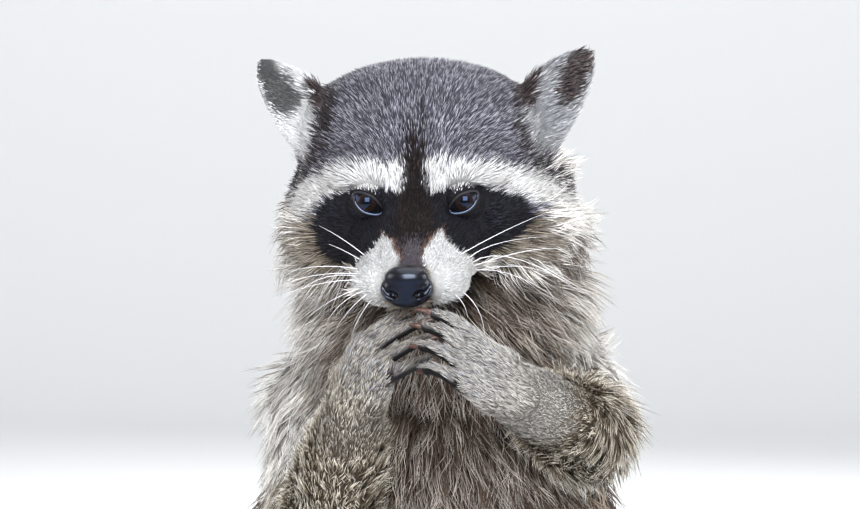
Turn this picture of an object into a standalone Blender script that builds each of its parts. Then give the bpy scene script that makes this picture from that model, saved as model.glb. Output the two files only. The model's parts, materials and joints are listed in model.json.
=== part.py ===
"""A life-size raccoon that sits upright on its haunches and holds both hands together under its nose.

Units are metres, +Z is up and the raccoon looks along -Y, so +X is its own left. The origin is on the
floor, at the middle of the flat patch that it sits on. Every solid reaches to the tips of the coat. Each
body part is one closed solid, grown from rounded masses, and parts that meet are kept a thin gap apart.
"""

import math

import bmesh
import bpy
from mathutils import Matrix, Vector

MM = 0.001
GAP = 0.3 * MM  # between solids that meet
FLOOR_BLOCK = 0.8  # side of the block that flattens whatever reaches below the floor
WORLD = Matrix.Identity(4)
SIDES = {"right": -1, "left": 1}

# The head in its own frame: origin midway between the eyes, the muzzle along -Y. Sizes are in millimetres.
HEAD_AT = Vector((-8, -100, 372)) * MM
HEAD_PITCH, HEAD_YAW, HEAD_ROLL = 14, -4.5, -1  # degrees: nose down, turned and tilted to its own right
EYE_SPACING, EYE_RADIUS, EYE_DEPTH = 41.2, 7.4, -1.5
NOSE_CENTRE = (0, -54.5, -19.5)
NOSE_WIDTH, NOSE_DEPTH, NOSE_HEIGHT = 22, 15, 18
EAR_LEAN, EAR_OPEN, EAR_TIP_BACK = 31, 12, 8  # degrees outwards, to the side and backwards
EAR_THICK = 0.5  # of the ear's width

# The hands: where the middle knuckle is, the way the palm points, and the way from little finger to thumb.
KNUCKLE_AT = {"right": (-25, -149, 311), "left": (13, -163, 311)}
PALM_ALONG = {"right": (0.28, -0.56, 0.78), "left": (-0.62, -0.6, 0.5)}
PALM_ACROSS = {"right": (-0.57, 0.47, 0.62), "left": (0.45, 0.38, 0.81)}
FINGER_BENDS = {"right": (50, 16, 14), "left": (24, 30, 28)}  # degrees at the knuckle and the two joints
FINGER_SWING = {"right": -11, "left": 14}  # degrees that all the fingers lean towards the thumb
PALM_LENGTH = 26
DIGIT_SPREAD = (24, -2, 1, 0, -3)  # degrees off the palm's line, thumb to little finger
DIGIT_LENGTH = (0.72, 0.94, 1.0, 0.97, 0.86)
DIGIT_BEND = (1.2, 0.85, 1.0, 1.1, 1.25)  # share of those bends
DIGIT_REACH = (-14, -1, 0, -1, -4)  # knuckle past the middle one, along the palm
DIGIT_ACROSS = (6, 9.6, 3.2, -3.4, -9.6)
THUMB_DEPTH = 5  # of the thumb's root, towards the inside of the palm
FINGER_BONES = (9.5, 7, 6)
FINGER_RADII = (3.9, 3.3, 3.0, 2.7)
ELBOW_AT = {"right": (-48, -60, 222), "left": (66, -66, 270)}
WRIST_RADIUS, FOREARM_RADIUS, UPPER_ARM_RADIUS = 15.5, 20, 27
ELBOW_RADIUS = {"right": 26, "left": 23}
PALM_RADIUS, HEEL_OF_HAND_RADIUS, KNUCKLE_RADIUS = 12, 10.4, 7.4
KNUCKLES_APART = 6  # of the first and last knuckle from the palm's middle line
SHOULDER_AT = {"right": (-54, -12, 280), "left": (60, -10, 284)}
EAR_AT = {"right": (-47, 44, 21), "left": (50, 44, 23)}  # the middle of the ear's base, in the head's frame
CHEEK_WIDTH = {"right": 35, "left": 40}  # the coat is fuller on the left cheek

# The hind feet stand flat on the floor beside the belly.
BALL_OF_FOOT = (98, -88, 11)
HEEL_AT = (86, -22, 15)
TOE_BONES, TOE_BENDS = (10, 8, 7), (8, 14, 10)
TOE_RADII = (6.4, 6.0, 5.6, 5.0)
TOE_LIFT = -3.5
FOOT_RADII, THIGH_RADII, SHIN_RADII = (15, 14, 12), (62, 56, 38), (31, 27, 20)
KNEE_AT = (98, -66, 96)
HIP_AT = (52, 10, 78)

# The tail lies on the floor in an arc round the animal's left side.
TAIL_CENTRE = (92, 42)
TAIL_ARC_RADIUS = 88
TAIL_FROM, TAIL_TO = 158, -24  # degrees round that centre
TAIL_RADII = (27, 34, 35, 34, 31, 15)
TAIL_LENGTHS = 3
TAIL_SUNK = 1.5  # that the tail's round underside is pressed flat on the floor

CLAW_RADII = (1.7, 1.5, 1.1, 0.5)
CLAW_STEP = {"hand": 3.4, "foot": 3.2}
CLAW_BEND = 14  # degrees at each step
CLAW_LIFT = 22  # degrees that a claw starts above its digit's line


def empty_scene():
    for thing in list(bpy.data.objects):
        bpy.data.objects.remove(thing)
    for group in list(bpy.data.collections):
        bpy.data.collections.remove(group)


def finish(name, colour, roughness):
    """A coat, skin, eye or horn finish."""
    made = bpy.data.materials.new(name)
    made.use_nodes = True
    shader = made.node_tree.nodes["Principled BSDF"]
    shader.inputs["Base Color"].default_value = (*colour, 1)
    shader.inputs["Roughness"].default_value = roughness
    return made


def turned(x=0, y=0, z=0):
    """A rotation in degrees, about X first, then Y, then Z."""
    about = [Matrix.Rotation(math.radians(t), 4, axis) for t, axis in zip((z, y, x), "ZYX")]
    return about[0] @ about[1] @ about[2]


HEAD = Matrix.Translation(HEAD_AT) @ turned(HEAD_PITCH, 0, HEAD_YAW) @ turned(0, HEAD_ROLL, 0)


def ball(centre, radii, frame=WORLD, turn=(0, 0, 0), segments=32):
    """An ellipsoid, with its centre and radii in millimetres and its turn in degrees."""
    bpy.ops.mesh.primitive_uv_sphere_add(segments=segments, ring_count=segments // 2, radius=1)
    made = bpy.context.active_object
    size = Matrix.Diagonal((*(Vector(radii) * MM), 1))
    made.data.transform(frame @ Matrix.Translation(Vector(centre) * MM) @ turned(*turn) @ size)
    return made


def join(things):
    if len(things) == 1:
        return things[0]
    bpy.ops.object.select_all(action="DESELECT")
    for thing in things:
        thing.select_set(True)
    bpy.context.view_layer.objects.active = things[0]
    bpy.ops.object.join()
    return things[0]


def rod(stations, frame=WORLD, order=3, sides=6):
    """A tapered rod with flat ends, through stations of (x, y, z, radius) in millimetres."""
    line = bpy.data.curves.new("rod", "CURVE")
    line.dimensions = "3D"
    line.bevel_depth = MM
    line.bevel_resolution = sides
    line.use_fill_caps = True
    spline = line.splines.new("NURBS" if order > 2 else "POLY")
    spline.points.add(len(stations) - 1)
    for point, (x, y, z, radius) in zip(spline.points, stations):
        point.co = (*(frame @ (Vector((x, y, z)) * MM)), 1)
        point.radius = radius
    if order > 2:
        spline.order_u = order
        spline.use_endpoint_u = True
    drawn = bpy.data.objects.new("rod", line)
    bpy.context.scene.collection.objects.link(drawn)
    bpy.context.view_layer.update()
    mesh = bpy.data.meshes.new_from_object(drawn.evaluated_get(bpy.context.evaluated_depsgraph_get()))
    bpy.data.objects.remove(drawn)
    whole = bmesh.new()
    whole.from_mesh(mesh)
    bmesh.ops.remove_doubles(whole, verts=whole.verts, dist=0.01 * MM)
    bmesh.ops.recalc_face_normals(whole, faces=whole.faces)
    whole.to_mesh(mesh)
    whole.free()
    made = bpy.data.objects.new("rod", mesh)
    bpy.context.scene.collection.objects.link(made)
    return made


def limb(stations, frame=WORLD):
    """A rod with round ends."""
    order = min(3, len(stations))
    ends = [ball(s[:3], (s[3],) * 3, frame, segments=16) for s in (stations[0], stations[-1])]
    return join([rod(stations, frame, order), *ends])


def bake_modifiers(thing):
    bpy.context.view_layer.update()
    graph = bpy.context.evaluated_depsgraph_get()
    mesh = bpy.data.meshes.new_from_object(thing.evaluated_get(graph))
    thing.modifiers.clear()
    thing.data = mesh
    return thing


def name_part(made, name, coat):
    """Names and dresses a part, and keeps its room, which is a gap wider all round, to cut neighbours."""
    made.name = made.data.name = name
    made.data.shade_smooth()
    made.data.materials.clear()
    made.data.materials.append(coat)
    for owner in list(made.users_collection):
        owner.objects.unlink(made)
    bpy.data.collections["raccoon"].objects.link(made)
    room = bpy.data.objects.new(f"room_{name}", made.data.copy())
    room.hide_render = True
    room.display_type = "WIRE"
    bpy.data.collections["rooms"].objects.link(room)
    swell = room.modifiers.new("swell", "DISPLACE")
    swell.strength = GAP
    swell.mid_level = 0
    bake_modifiers(room)
    return made


def reduce_to(made, triangles):
    made.data.calc_loop_triangles()
    fewer = made.modifiers.new("fewer", "DECIMATE")
    fewer.ratio = min(1, triangles / len(made.data.loop_triangles))
    fewer.use_collapse_triangulate = True
    return bake_modifiers(made)


def grow(name, masses, coat, voxel, smoothing, triangles):
    """One body part from overlapping masses: fused, smoothed and reduced to about so many triangles."""
    made = join(masses)
    fuse = made.modifiers.new("fuse", "REMESH")
    fuse.mode = "VOXEL"
    fuse.voxel_size = voxel * MM
    soften = made.modifiers.new("soften", "SMOOTH")
    soften.iterations = smoothing
    bake_modifiers(made)
    return name_part(reduce_to(made, triangles), name, coat)


def keep_largest(body):
    """Drops the crumbs that a cut leaves beside the part."""
    mesh = bmesh.new()
    mesh.from_mesh(body.data)
    unseen, islands = set(mesh.verts), []
    while unseen:
        island, front = set(), [unseen.pop()]
        while front:
            corner = front.pop()
            island.add(corner)
            for link in corner.link_edges:
                near = link.other_vert(corner)
                if near in unseen:
                    unseen.remove(near)
                    front.append(near)
        islands.append(island)
    islands.sort(key=len)
    for crumb in islands[:-1]:
        bmesh.ops.delete(mesh, geom=list(crumb), context="VERTS")
    mesh.to_mesh(body.data)
    mesh.free()


def carve(body, cutter):
    away = body.modifiers.new("carve", "BOOLEAN")
    away.operation = "DIFFERENCE"
    away.solver = "MANIFOLD"  # the exact solver leaves open edges on these many-sided solids
    away.object = cutter
    bake_modifiers(body)
    keep_largest(body)


def cut_clear(body, others):
    """Cuts body back to a thin gap from each of the others."""
    for other in others:
        carve(body, bpy.data.objects[f"room_{other.name}"])


def flatten_below_floor(bodies):
    """Gives each part that rests on the floor its small flat."""
    bpy.ops.mesh.primitive_cube_add(size=FLOOR_BLOCK, location=(0, 0, -FLOOR_BLOCK / 2))
    block = bpy.context.active_object
    for body in bodies:
        carve(body, block)
    bpy.data.objects.remove(block)


def paw_frame(at, along, across):
    """A frame with Y along the palm, X from little finger to thumb side and Z across its thickness."""
    y = Vector(along).normalized()
    x = (Vector(across) - y * y.dot(Vector(across))).normalized()
    return Matrix((x, y, x.cross(y))).transposed().to_4x4(), Vector(at)


def digit_points(turn, at, side, index, bones, bends, lift, swing=0):
    """The joints of one digit, the way its tip points and its hinge. Bends are towards the palm's inside,
    which is on opposite sides of the frame on the two sides of the body."""
    way = turned(0, 0, -DIGIT_SPREAD[index] - swing)
    points = [Vector((DIGIT_ACROSS[index], DIGIT_REACH[index], lift))]
    angle = 0
    for bone, bend in zip(bones, bends):
        angle += math.radians(bend * DIGIT_BEND[index])
        step = way @ Vector((0, math.cos(angle), -side * math.sin(angle)))
        points.append(points[-1] + step * bone * DIGIT_LENGTH[index])
    return [turn @ p + at for p in points], turn @ step, turn @ (way @ Vector((1, 0, 0)))


def with_radii(points, radii):
    return [(*p, r) for p, r in zip(points, radii)]


def claw(name, root, way, hinge, inward, step, horn):
    """A curved claw that starts inside the digit's tip and bends towards the palm."""
    way = Matrix.Rotation(math.radians(inward * CLAW_LIFT), 3, hinge) @ way
    points = [root - way * step * 0.6]
    for number in range(len(CLAW_RADII) - 1):
        way = Matrix.Rotation(math.radians(-inward * CLAW_BEND), 3, hinge) @ way
        points.append(points[-1] + way * step)
    made = rod(with_radii(points, CLAW_RADII), order=2, sides=0)
    return name_part(made, name, horn)


def make_head(coat, leather, gloss):
    masses = [
        ball((0, 42, 0), (60, 52, 50), HEAD),  # braincase
        ball((0, 40, 22), (57, 41, 34), HEAD),  # broad crown
        ball((0, 20, -8), (43, 30, 28), HEAD),  # face
        limb([(0, 10, -11, 22), (0, -22, -17, 18.5), (0, -49, -20.5, 10.5)], HEAD),  # muzzle
        limb([(0, 15, -31, 18), (2, -33, -35, 8.8)], HEAD),  # lower jaw
    ]
    for word, side in SIDES.items():
        out = side * CHEEK_WIDTH[word]
        masses += [
            ball((side * 12, -30, -24), (14, 19, 12.5), HEAD),  # whisker pad
            ball((side * 23, 4, 12), (17, 10, 7), HEAD, turn=(0, side * 14, 0)),  # brow
            ball((out, 22, -17), (31, 31, 31), HEAD),  # cheek
            ball((out * 1.17, 46, -20), (28, 30, 38), HEAD, turn=(0, side * -10, 0)),  # ruff
        ]
    head = grow("head", masses, coat, voxel=2.2, smoothing=8, triangles=560)
    nose_masses = [
        ball(NOSE_CENTRE, (NOSE_WIDTH / 2, NOSE_DEPTH / 2, NOSE_HEIGHT / 2), HEAD, segments=20),
        ball((0, -55.5, -14.5), (9, 6, 4.5), HEAD, segments=16),  # top edge
    ]
    nose = grow("nose", nose_masses, leather, voxel=0.9, smoothing=4, triangles=130)
    for side in SIDES.values():
        centre, radii = (side * 6.2, -61.5, -20.5), (2.3, 3.6, 2.0)
        nostril = ball(centre, radii, HEAD, turn=(0, side * 30, 0), segments=12)
        carve(nose, nostril)
        bpy.data.objects.remove(nostril)
    ears, eyes = [], []
    for word, side in SIDES.items():
        lean = turned(EAR_TIP_BACK, side * EAR_LEAN, side * EAR_OPEN)
        root = Matrix.Translation(Vector(EAR_AT[word]) * MM) @ lean
        flat = HEAD @ root @ Matrix.Diagonal((1, EAR_THICK, 1, 1))
        shell = limb([(0, 0, -4, 17), (0, 0, 12, 17), (side * 2, 0, 26, 11), (side * 3, 0, 36, 4)])
        shell.data.transform(flat)
        ear = grow(f"ear_{word}", [shell], coat, voxel=1.4, smoothing=5, triangles=160)
        hollow = ball((side, -14, 15), (10.5, 11, 18), flat, segments=16)
        carve(ear, hollow)
        bpy.data.objects.remove(hollow)
        ears.append(ear)
        eye = ball((side * EYE_SPACING / 2, EYE_DEPTH, 0), (EYE_RADIUS,) * 3, HEAD, segments=10)
        eyes.append(name_part(eye, f"eye_{word}", gloss))
    cut_clear(head, [nose, *ears, *eyes])
    return head, ears


def make_arm(word, side, coat, horn):
    turn, knuckle = paw_frame(KNUCKLE_AT[word], PALM_ALONG[word], PALM_ACROSS[word])
    along, across = turn @ Vector((0, 1, 0)), turn @ Vector((1, 0, 0))
    wrist = knuckle - along * PALM_LENGTH
    elbow, shoulder = Vector(ELBOW_AT[word]), Vector(SHOULDER_AT[word])
    masses = [limb([(*(wrist - along * 4), PALM_RADIUS), (*(wrist + along * 8), PALM_RADIUS)])]
    for edge in (-1, 1):
        heel_of_hand = wrist + along * 6 + across * 4 * edge
        last_knuckle = knuckle - along * 2 + across * KNUCKLES_APART * edge
        masses.append(limb([(*heel_of_hand, HEEL_OF_HAND_RADIUS), (*last_knuckle, KNUCKLE_RADIUS)]))
    claws = []
    for index in range(len(DIGIT_SPREAD)):
        lift = -side * THUMB_DEPTH if index == 0 else 0
        bends, swing = FINGER_BENDS[word], FINGER_SWING[word]
        points, way, hinge = digit_points(turn, knuckle, side, index, FINGER_BONES, bends, lift, swing)
        masses.append(limb(with_radii(points, FINGER_RADII)))
        name = f"hand_{word}_claw_{index + 1}"
        claws.append(claw(name, points[-1] + way * 2.2, way, hinge, side, CLAW_STEP["hand"], horn))
    hand = grow(f"hand_{word}", masses, coat, voxel=1.1, smoothing=3, triangles=400)
    cut_clear(hand, claws)
    thick = ELBOW_RADIUS[word]
    fore = limb([(*wrist, WRIST_RADIUS), (*wrist.lerp(elbow, 0.45), FOREARM_RADIUS), (*elbow, thick)])
    forearm = grow(f"forearm_{word}", [fore], coat, voxel=3, smoothing=4, triangles=130)
    middle = elbow.lerp(shoulder, 0.5)
    upper = limb([(*elbow, thick + 1), (*middle, UPPER_ARM_RADIUS), (*shoulder, UPPER_ARM_RADIUS + 1)])
    upper_arm = grow(f"upper_arm_{word}", [upper], coat, voxel=4, smoothing=4, triangles=110)
    cut_clear(forearm, [hand])
    cut_clear(upper_arm, [forearm])
    return hand, forearm, upper_arm, claws


def mirrored(point, side):
    return Vector((side * point[0], *point[1:]))


def make_leg(word, side, coat, horn):
    ball_of_foot, heel = mirrored(BALL_OF_FOOT, side), mirrored(HEEL_AT, side)
    knee, hip = mirrored(KNEE_AT, side), mirrored(HIP_AT, side)
    turn, knuckle = paw_frame(ball_of_foot, ball_of_foot - heel - Vector((0, 0, -4)), (-side, 0, 0))
    across = turn @ Vector((1, 0, 0))
    instep = heel.lerp(ball_of_foot, 0.5)
    masses = [
        limb(with_radii((heel, instep, ball_of_foot), FOOT_RADII)),
        limb([(*(ball_of_foot - across * 7), 10), (*(ball_of_foot + across * 7), 10)]),
    ]
    claws = []
    for index in range(len(DIGIT_SPREAD)):
        points, way, hinge = digit_points(turn, knuckle, -side, index, TOE_BONES, TOE_BENDS, TOE_LIFT)
        masses.append(limb(with_radii(points, TOE_RADII)))
        root = points[-1] + way * 4 + Vector((0, 0, 0.6))
        name = f"foot_{word}_claw_{index + 1}"
        claws.append(claw(name, root, way, hinge, -side, CLAW_STEP["foot"], horn))
    foot = grow(f"foot_{word}", masses, coat, voxel=1.8, smoothing=4, triangles=270)
    cut_clear(foot, claws)
    lower = limb(with_radii((knee, knee.lerp(heel, 0.5), heel), SHIN_RADII))
    shin = grow(f"shin_{word}", [lower], coat, voxel=4, smoothing=4, triangles=120)
    upper = limb(with_radii((hip, hip.lerp(knee, 0.5), knee), THIGH_RADII))
    thigh = grow(f"thigh_{word}", [upper], coat, voxel=5, smoothing=4, triangles=160)
    cut_clear(shin, [foot])
    cut_clear(thigh, [shin, foot])
    return foot, shin, thigh


def tail_station(share):
    """A point of the tail's arc and its radius there, at this share of the way to the tip."""
    angle = math.radians(TAIL_FROM + (TAIL_TO - TAIL_FROM) * share)
    place = share * (len(TAIL_RADII) - 1)
    low = min(int(place), len(TAIL_RADII) - 2)
    radius = TAIL_RADII[low] + (TAIL_RADII[low + 1] - TAIL_RADII[low]) * (place - low)
    x = TAIL_CENTRE[0] + TAIL_ARC_RADIUS * math.cos(angle)
    y = TAIL_CENTRE[1] + TAIL_ARC_RADIUS * math.sin(angle)
    return x, y, radius - TAIL_SUNK, radius


def make_tail(coat):
    """The tail as lengths of one arc on the floor, each one fitted against the round end of the last."""
    lengths = []
    for number in range(TAIL_LENGTHS):
        shares = [(number + step / 4) / TAIL_LENGTHS for step in range(5)]
        masses = [limb([tail_station(share) for share in shares])]
        length = grow(f"tail_{number + 1}", masses, coat, voxel=4, smoothing=4, triangles=150)
        cut_clear(length, lengths[-1:])
        lengths.append(length)
    return lengths


def make_trunk(coat):
    spine = limb([(0, 4, 92, 97), (0, -4, 160, 98), (1, -14, 232, 82), (3, -22, 284, 62)])
    spine.data.transform(Matrix.Diagonal((1.05, 0.97, 1, 1)))
    masses = [
        spine,
        ball((0, -2, 88), (104, 92, 93)),  # rump
        ball((3, -20, 270), (84, 68, 50)),  # shoulders
        ball((0, -50, 264), (57, 46, 54)),  # breast
    ]
    return grow("trunk", masses, coat, voxel=5, smoothing=12, triangles=320)


def make_neck(coat):
    nape = limb([(-4, -50, 352, 54), (0, -34, 318, 58), (2, -22, 290, 62)])
    masses = [
        nape,
        ball((6, -42, 318), (73, 58, 44)),  # ruff
        ball((-2, -72, 312), (52, 38, 34)),  # throat
    ]
    return grow("neck", masses, coat, voxel=4, smoothing=8, triangles=220)


def make_raccoon():
    empty_scene()
    for name in ("raccoon", "rooms"):
        bpy.context.scene.collection.children.link(bpy.data.collections.new(name))
    coat = finish("grey_coat", (0.30, 0.27, 0.24), 0.8)
    ringed = finish("ringed_coat", (0.16, 0.14, 0.13), 0.8)
    leather = finish("nose_leather", (0.02, 0.02, 0.022), 0.3)
    gloss = finish("eye_gloss", (0.02, 0.012, 0.01), 0.1)
    horn = finish("horn", (0.12, 0.06, 0.045), 0.4)
    head, ears = make_head(coat, leather, gloss)
    neck, trunk, tail = make_neck(coat), make_trunk(coat), make_tail(ringed)
    cut_clear(neck, [head, *ears])
    cut_clear(trunk, [neck, head])
    body = [head, neck, trunk]
    on_floor = [trunk, *tail]
    hands, hand_claws = {}, {}
    for word, side in SIDES.items():
        hands[word], forearm, upper_arm, hand_claws[word] = make_arm(word, side, coat, horn)
        cut_clear(hands[word], [head])
        cut_clear(forearm, body)
        cut_clear(upper_arm, body)
        foot, shin, thigh = make_leg(word, side, coat, horn)
        cut_clear(shin, [trunk])
        cut_clear(thigh, [trunk])
        on_floor += [foot, shin, thigh]
    cut_clear(hands["right"], hand_claws["left"])
    cut_clear(hands["left"], [hands["right"], *hand_claws["right"]])
    for length in tail:
        cut_clear(length, [trunk, shin, thigh])
    flatten_below_floor(on_floor)
    for room in list(bpy.data.collections["rooms"].objects):
        bpy.data.objects.remove(room)


make_raccoon()
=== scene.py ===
"""The looks of a life-size raccoon that sits upright with both hands together under its nose.

The raccoon looks along -Y, +Z is up and +X is its own left. A length is in metres, or in millimetres where
it is multiplied by MM or a comment says so.
"""

import json
import math

import bmesh
import bpy
import numpy as np
from mathutils import Matrix, Vector
from mathutils.bvhtree import BVHTree
from mathutils.kdtree import KDTree

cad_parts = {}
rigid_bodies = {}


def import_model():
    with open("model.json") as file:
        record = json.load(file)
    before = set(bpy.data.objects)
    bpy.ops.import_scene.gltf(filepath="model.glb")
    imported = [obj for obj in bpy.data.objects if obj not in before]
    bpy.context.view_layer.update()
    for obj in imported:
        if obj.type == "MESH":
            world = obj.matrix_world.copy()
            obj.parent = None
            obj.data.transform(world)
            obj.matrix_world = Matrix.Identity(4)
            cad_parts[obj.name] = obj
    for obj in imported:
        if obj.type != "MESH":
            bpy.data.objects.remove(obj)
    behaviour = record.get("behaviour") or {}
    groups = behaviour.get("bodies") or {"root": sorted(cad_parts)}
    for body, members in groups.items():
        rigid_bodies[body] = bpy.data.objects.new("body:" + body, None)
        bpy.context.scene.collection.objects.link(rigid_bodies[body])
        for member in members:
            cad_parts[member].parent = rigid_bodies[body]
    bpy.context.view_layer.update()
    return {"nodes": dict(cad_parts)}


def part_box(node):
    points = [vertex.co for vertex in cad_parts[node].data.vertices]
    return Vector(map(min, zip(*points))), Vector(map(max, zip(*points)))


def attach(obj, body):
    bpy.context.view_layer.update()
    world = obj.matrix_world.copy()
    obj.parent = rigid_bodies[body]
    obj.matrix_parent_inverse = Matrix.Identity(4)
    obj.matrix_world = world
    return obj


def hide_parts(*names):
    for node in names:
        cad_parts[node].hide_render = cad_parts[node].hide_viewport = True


for leftover in list(bpy.data.objects):
    bpy.data.objects.remove(leftover)
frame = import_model()

# ----------------------------------------------------------------------
# The stage: a plain pale floor of matt board that curves up behind into a wall, a large soft window light in
# front, weaker lamps at the sides, above and behind, and a camera a metre and a half away, a little above.
MM = 0.001
EYE_MID = sum((Vector(c) for side in ("left", "right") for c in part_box(f"eye_{side}")), Vector()) / 4
FLOOR_HALF = 12.0
WALL_BEHIND = 3.0
WALL_HEIGHT = 6.0
SWEEP_RADIUS = 0.8
SWEEP_STEPS = 16
BOARD_TONES = (0.90, 0.90, 0.90), (0.93, 0.93, 0.93)
BOARD_GRAIN = 4


def feed(tree, node, inputs):
    """Sets each of these inputs of a node to its value, or links it to the output that is given for it."""
    for socket, value in inputs.items():
        if isinstance(value, bpy.types.NodeSocket):
            tree.links.new(value, node.inputs[socket])
        else:
            node.inputs[socket].default_value = value


def new_node(tree, kind, inputs, **settings):
    """A node of this kind, with its settings and inputs."""
    node = tree.nodes.new(f"ShaderNode{kind}")
    for key, value in settings.items():
        setattr(node, key, value)
    feed(tree, node, inputs)
    return node


def new_material(name, inputs):
    """A material with these values on its shader, and with it its nodes, its shader and its coordinates."""
    material = bpy.data.materials.new(name)
    material.use_nodes = True
    tree = material.node_tree
    shader = tree.nodes["Principled BSDF"]
    feed(tree, shader, inputs)
    return material, tree, shader, new_node(tree, "TexCoord", {}).outputs


def new_group(name, inputs, outputs):
    """A node group with these named sockets, each with its kind, and with it what comes in at its inputs."""
    group = bpy.data.node_groups.new(name, "ShaderNodeTree")
    for sockets, in_out in ((inputs, "INPUT"), (outputs, "OUTPUT")):
        for socket, kind in sockets.items():
            group.interface.new_socket(socket, in_out=in_out, socket_type=f"NodeSocket{kind}")
    return group, group.nodes.new("NodeGroupInput").outputs


# Two tones: a colour that goes from Dark to Light as a noise goes from Start to End.
two_tones, given = new_group(
    "two_tones",
    {"Place": "Vector", "Scale": "Float", "Detail": "Float", "Start": "Float", "End": "Float",
     "Dark": "Color", "Light": "Color"},
    {"Color": "Color"},
)
noise = new_node(
    two_tones, "TexNoise", {"Vector": given["Place"], "Scale": given["Scale"], "Detail": given["Detail"]}
)
share = new_node(
    two_tones, "MapRange",
    {"Value": noise.outputs["Fac"], "From Min": given["Start"], "From Max": given["End"]},
)
MIX_SHARE, MIX_FIRST, MIX_SECOND, MIX_COLOUR = 0, 6, 7, 2  # the Mix node's sockets for colours, by number
tone = new_node(
    two_tones, "Mix",
    {MIX_SHARE: share.outputs["Result"], MIX_FIRST: given["Dark"], MIX_SECOND: given["Light"]},
    data_type="RGBA",
)
feed(two_tones, two_tones.nodes.new("NodeGroupOutput"), {"Color": tone.outputs[MIX_COLOUR]})


def toned(tree, place, scale, dark, light, detail=2, start=0, end=1):
    """The colour that the group of two tones gives with these values."""
    return new_node(tree, "Group", {
        "Place": place, "Scale": scale, "Detail": detail, "Start": start, "End": end,
        "Dark": (*dark, 1), "Light": (*light, 1),
    }, node_tree=two_tones).outputs["Color"]


bpy.ops.object.select_all(action="DESELECT")
bpy.ops.mesh.primitive_plane_add(size=2 * FLOOR_HALF)
backdrop = bpy.context.active_object
backdrop.name = "backdrop"
backdrop.data.transform(Matrix.Translation((0, WALL_BEHIND - FLOOR_HALF, 0)))
bpy.ops.object.mode_set(mode="EDIT")
bpy.ops.mesh.select_mode(type="EDGE")
bpy.ops.mesh.select_all(action="DESELECT")
bpy.ops.object.mode_set(mode="OBJECT")
for edge in backdrop.data.edges:
    ends = [backdrop.data.vertices[v].co.y for v in edge.vertices]
    edge.select = min(ends) > WALL_BEHIND / 2
bpy.ops.object.mode_set(mode="EDIT")
bpy.ops.mesh.extrude_region_move(TRANSFORM_OT_translate={"value": (0, 0, WALL_HEIGHT)})
bpy.ops.object.mode_set(mode="OBJECT")
sweep = backdrop.modifiers.new("sweep", "BEVEL")
sweep.width = SWEEP_RADIUS
sweep.segments = SWEEP_STEPS
bpy.ops.object.modifier_apply(modifier="sweep")
bpy.ops.object.shade_smooth()

# The board is clear from behind, so that the wall hides nothing when the camera goes round the animal.
board, tree, shader, place = new_material("floor_paint", {"Roughness": 0.9})
feed(tree, shader, {"Base Color": toned(tree, place["Generated"], BOARD_GRAIN, *BOARD_TONES)})
one_way = new_node(tree, "MixShader", {
    "Fac": new_node(tree, "NewGeometry", {}).outputs["Backfacing"],
    1: shader.outputs["BSDF"],
    2: new_node(tree, "BsdfTransparent", {}).outputs["BSDF"],
})
feed(tree, tree.nodes["Material Output"], {"Surface": one_way.outputs["Shader"]})
backdrop.data.materials.append(board)

CAMERA_DISTANCE = 1.5
CAMERA_LIFT = math.radians(4)
FRAME_WIDTH = 0.361  # what the camera takes in across, at the eyes
AIM = EYE_MID + Vector((6, 0, -22)) * MM
camera = bpy.data.objects.new("camera", bpy.data.cameras.new("camera"))
bpy.context.scene.collection.objects.link(camera)
camera.data.lens = camera.data.sensor_width * CAMERA_DISTANCE / FRAME_WIDTH
camera.location = AIM + Vector((0, -math.cos(CAMERA_LIFT), math.sin(CAMERA_LIFT))) * CAMERA_DISTANCE
camera.rotation_euler = (AIM - camera.location).to_track_quat("-Z", "Y").to_euler()
bpy.context.scene.camera = camera

LAMPS = {  # name: (place, width, watts, colour)
    "window": ((0.10, -1.42, 1.18), 1.15, 62, (0.92, 0.96, 1.0)),
    "left": ((-1.9, -0.25, 1.1), 1.2, 17, (1.0, 0.98, 0.95)),
    "right": ((1.9, -0.15, 0.9), 1.2, 23, (1.0, 0.99, 0.97)),
    "sky": ((0.1, -0.1, 1.9), 1.6, 14, (0.92, 0.96, 1.0)),
    "rim": ((0.4, 1.3, 1.2), 1.2, 24, (1.0, 1.0, 1.0)),
}
for name, (place, width, watts, colour) in LAMPS.items():
    lamp = bpy.data.lights.new(name, "AREA")
    lamp.size = width
    lamp.energy = watts
    lamp.color = colour
    lamp_object = bpy.data.objects.new(name, lamp)
    lamp_object.location = place
    lamp_object.rotation_euler = (AIM - Vector(place)).to_track_quat("-Z", "Y").to_euler()
    bpy.context.scene.collection.objects.link(lamp_object)
world = bpy.data.worlds.new("studio_air")
world.use_nodes = True
air = world.node_tree.nodes["Background"].inputs
air["Color"].default_value = (0.93, 0.95, 0.98, 1)
air["Strength"].default_value = 0.36
bpy.context.scene.world = world
bpy.context.scene.view_settings.view_transform = "Standard"

# ----------------------------------------------------------------------
# The body under the coat: trunk, neck, limbs and tail, as the flesh of a stuffed skin. Each mass is smaller
# than its solid by the depth of the coat there, and all are fused, so that the skin has no seam.
SIDES = {"right": -1, "left": 1}
WORLD = Matrix.Identity(4)
ELBOW_AT = {"right": (-48, -60, 222), "left": (66, -66, 270)}
ELBOW_RADIUS = {"right": 21, "left": 19}
SHOULDER_AT = {"right": (-54, -12, 280), "left": (60, -10, 284)}
KNUCKLE_AT = {"right": (-25, -149, 311), "left": (13, -163, 311)}
PALM_ALONG = {"right": (0.28, -0.56, 0.78), "left": (-0.62, -0.6, 0.5)}
PALM_ACROSS = {"right": (-0.57, 0.47, 0.62), "left": (0.45, 0.38, 0.81)}
PALM_LENGTH = 26
BALL_OF_FOOT, HEEL_AT, KNEE_AT, HIP_AT = (98, -88, 11), (86, -22, 15), (98, -66, 96), (52, 10, 78)
TAIL_CENTRE, TAIL_ARC_RADIUS, TAIL_FROM, TAIL_TO = (92, 42), 88, 158, -24
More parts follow.
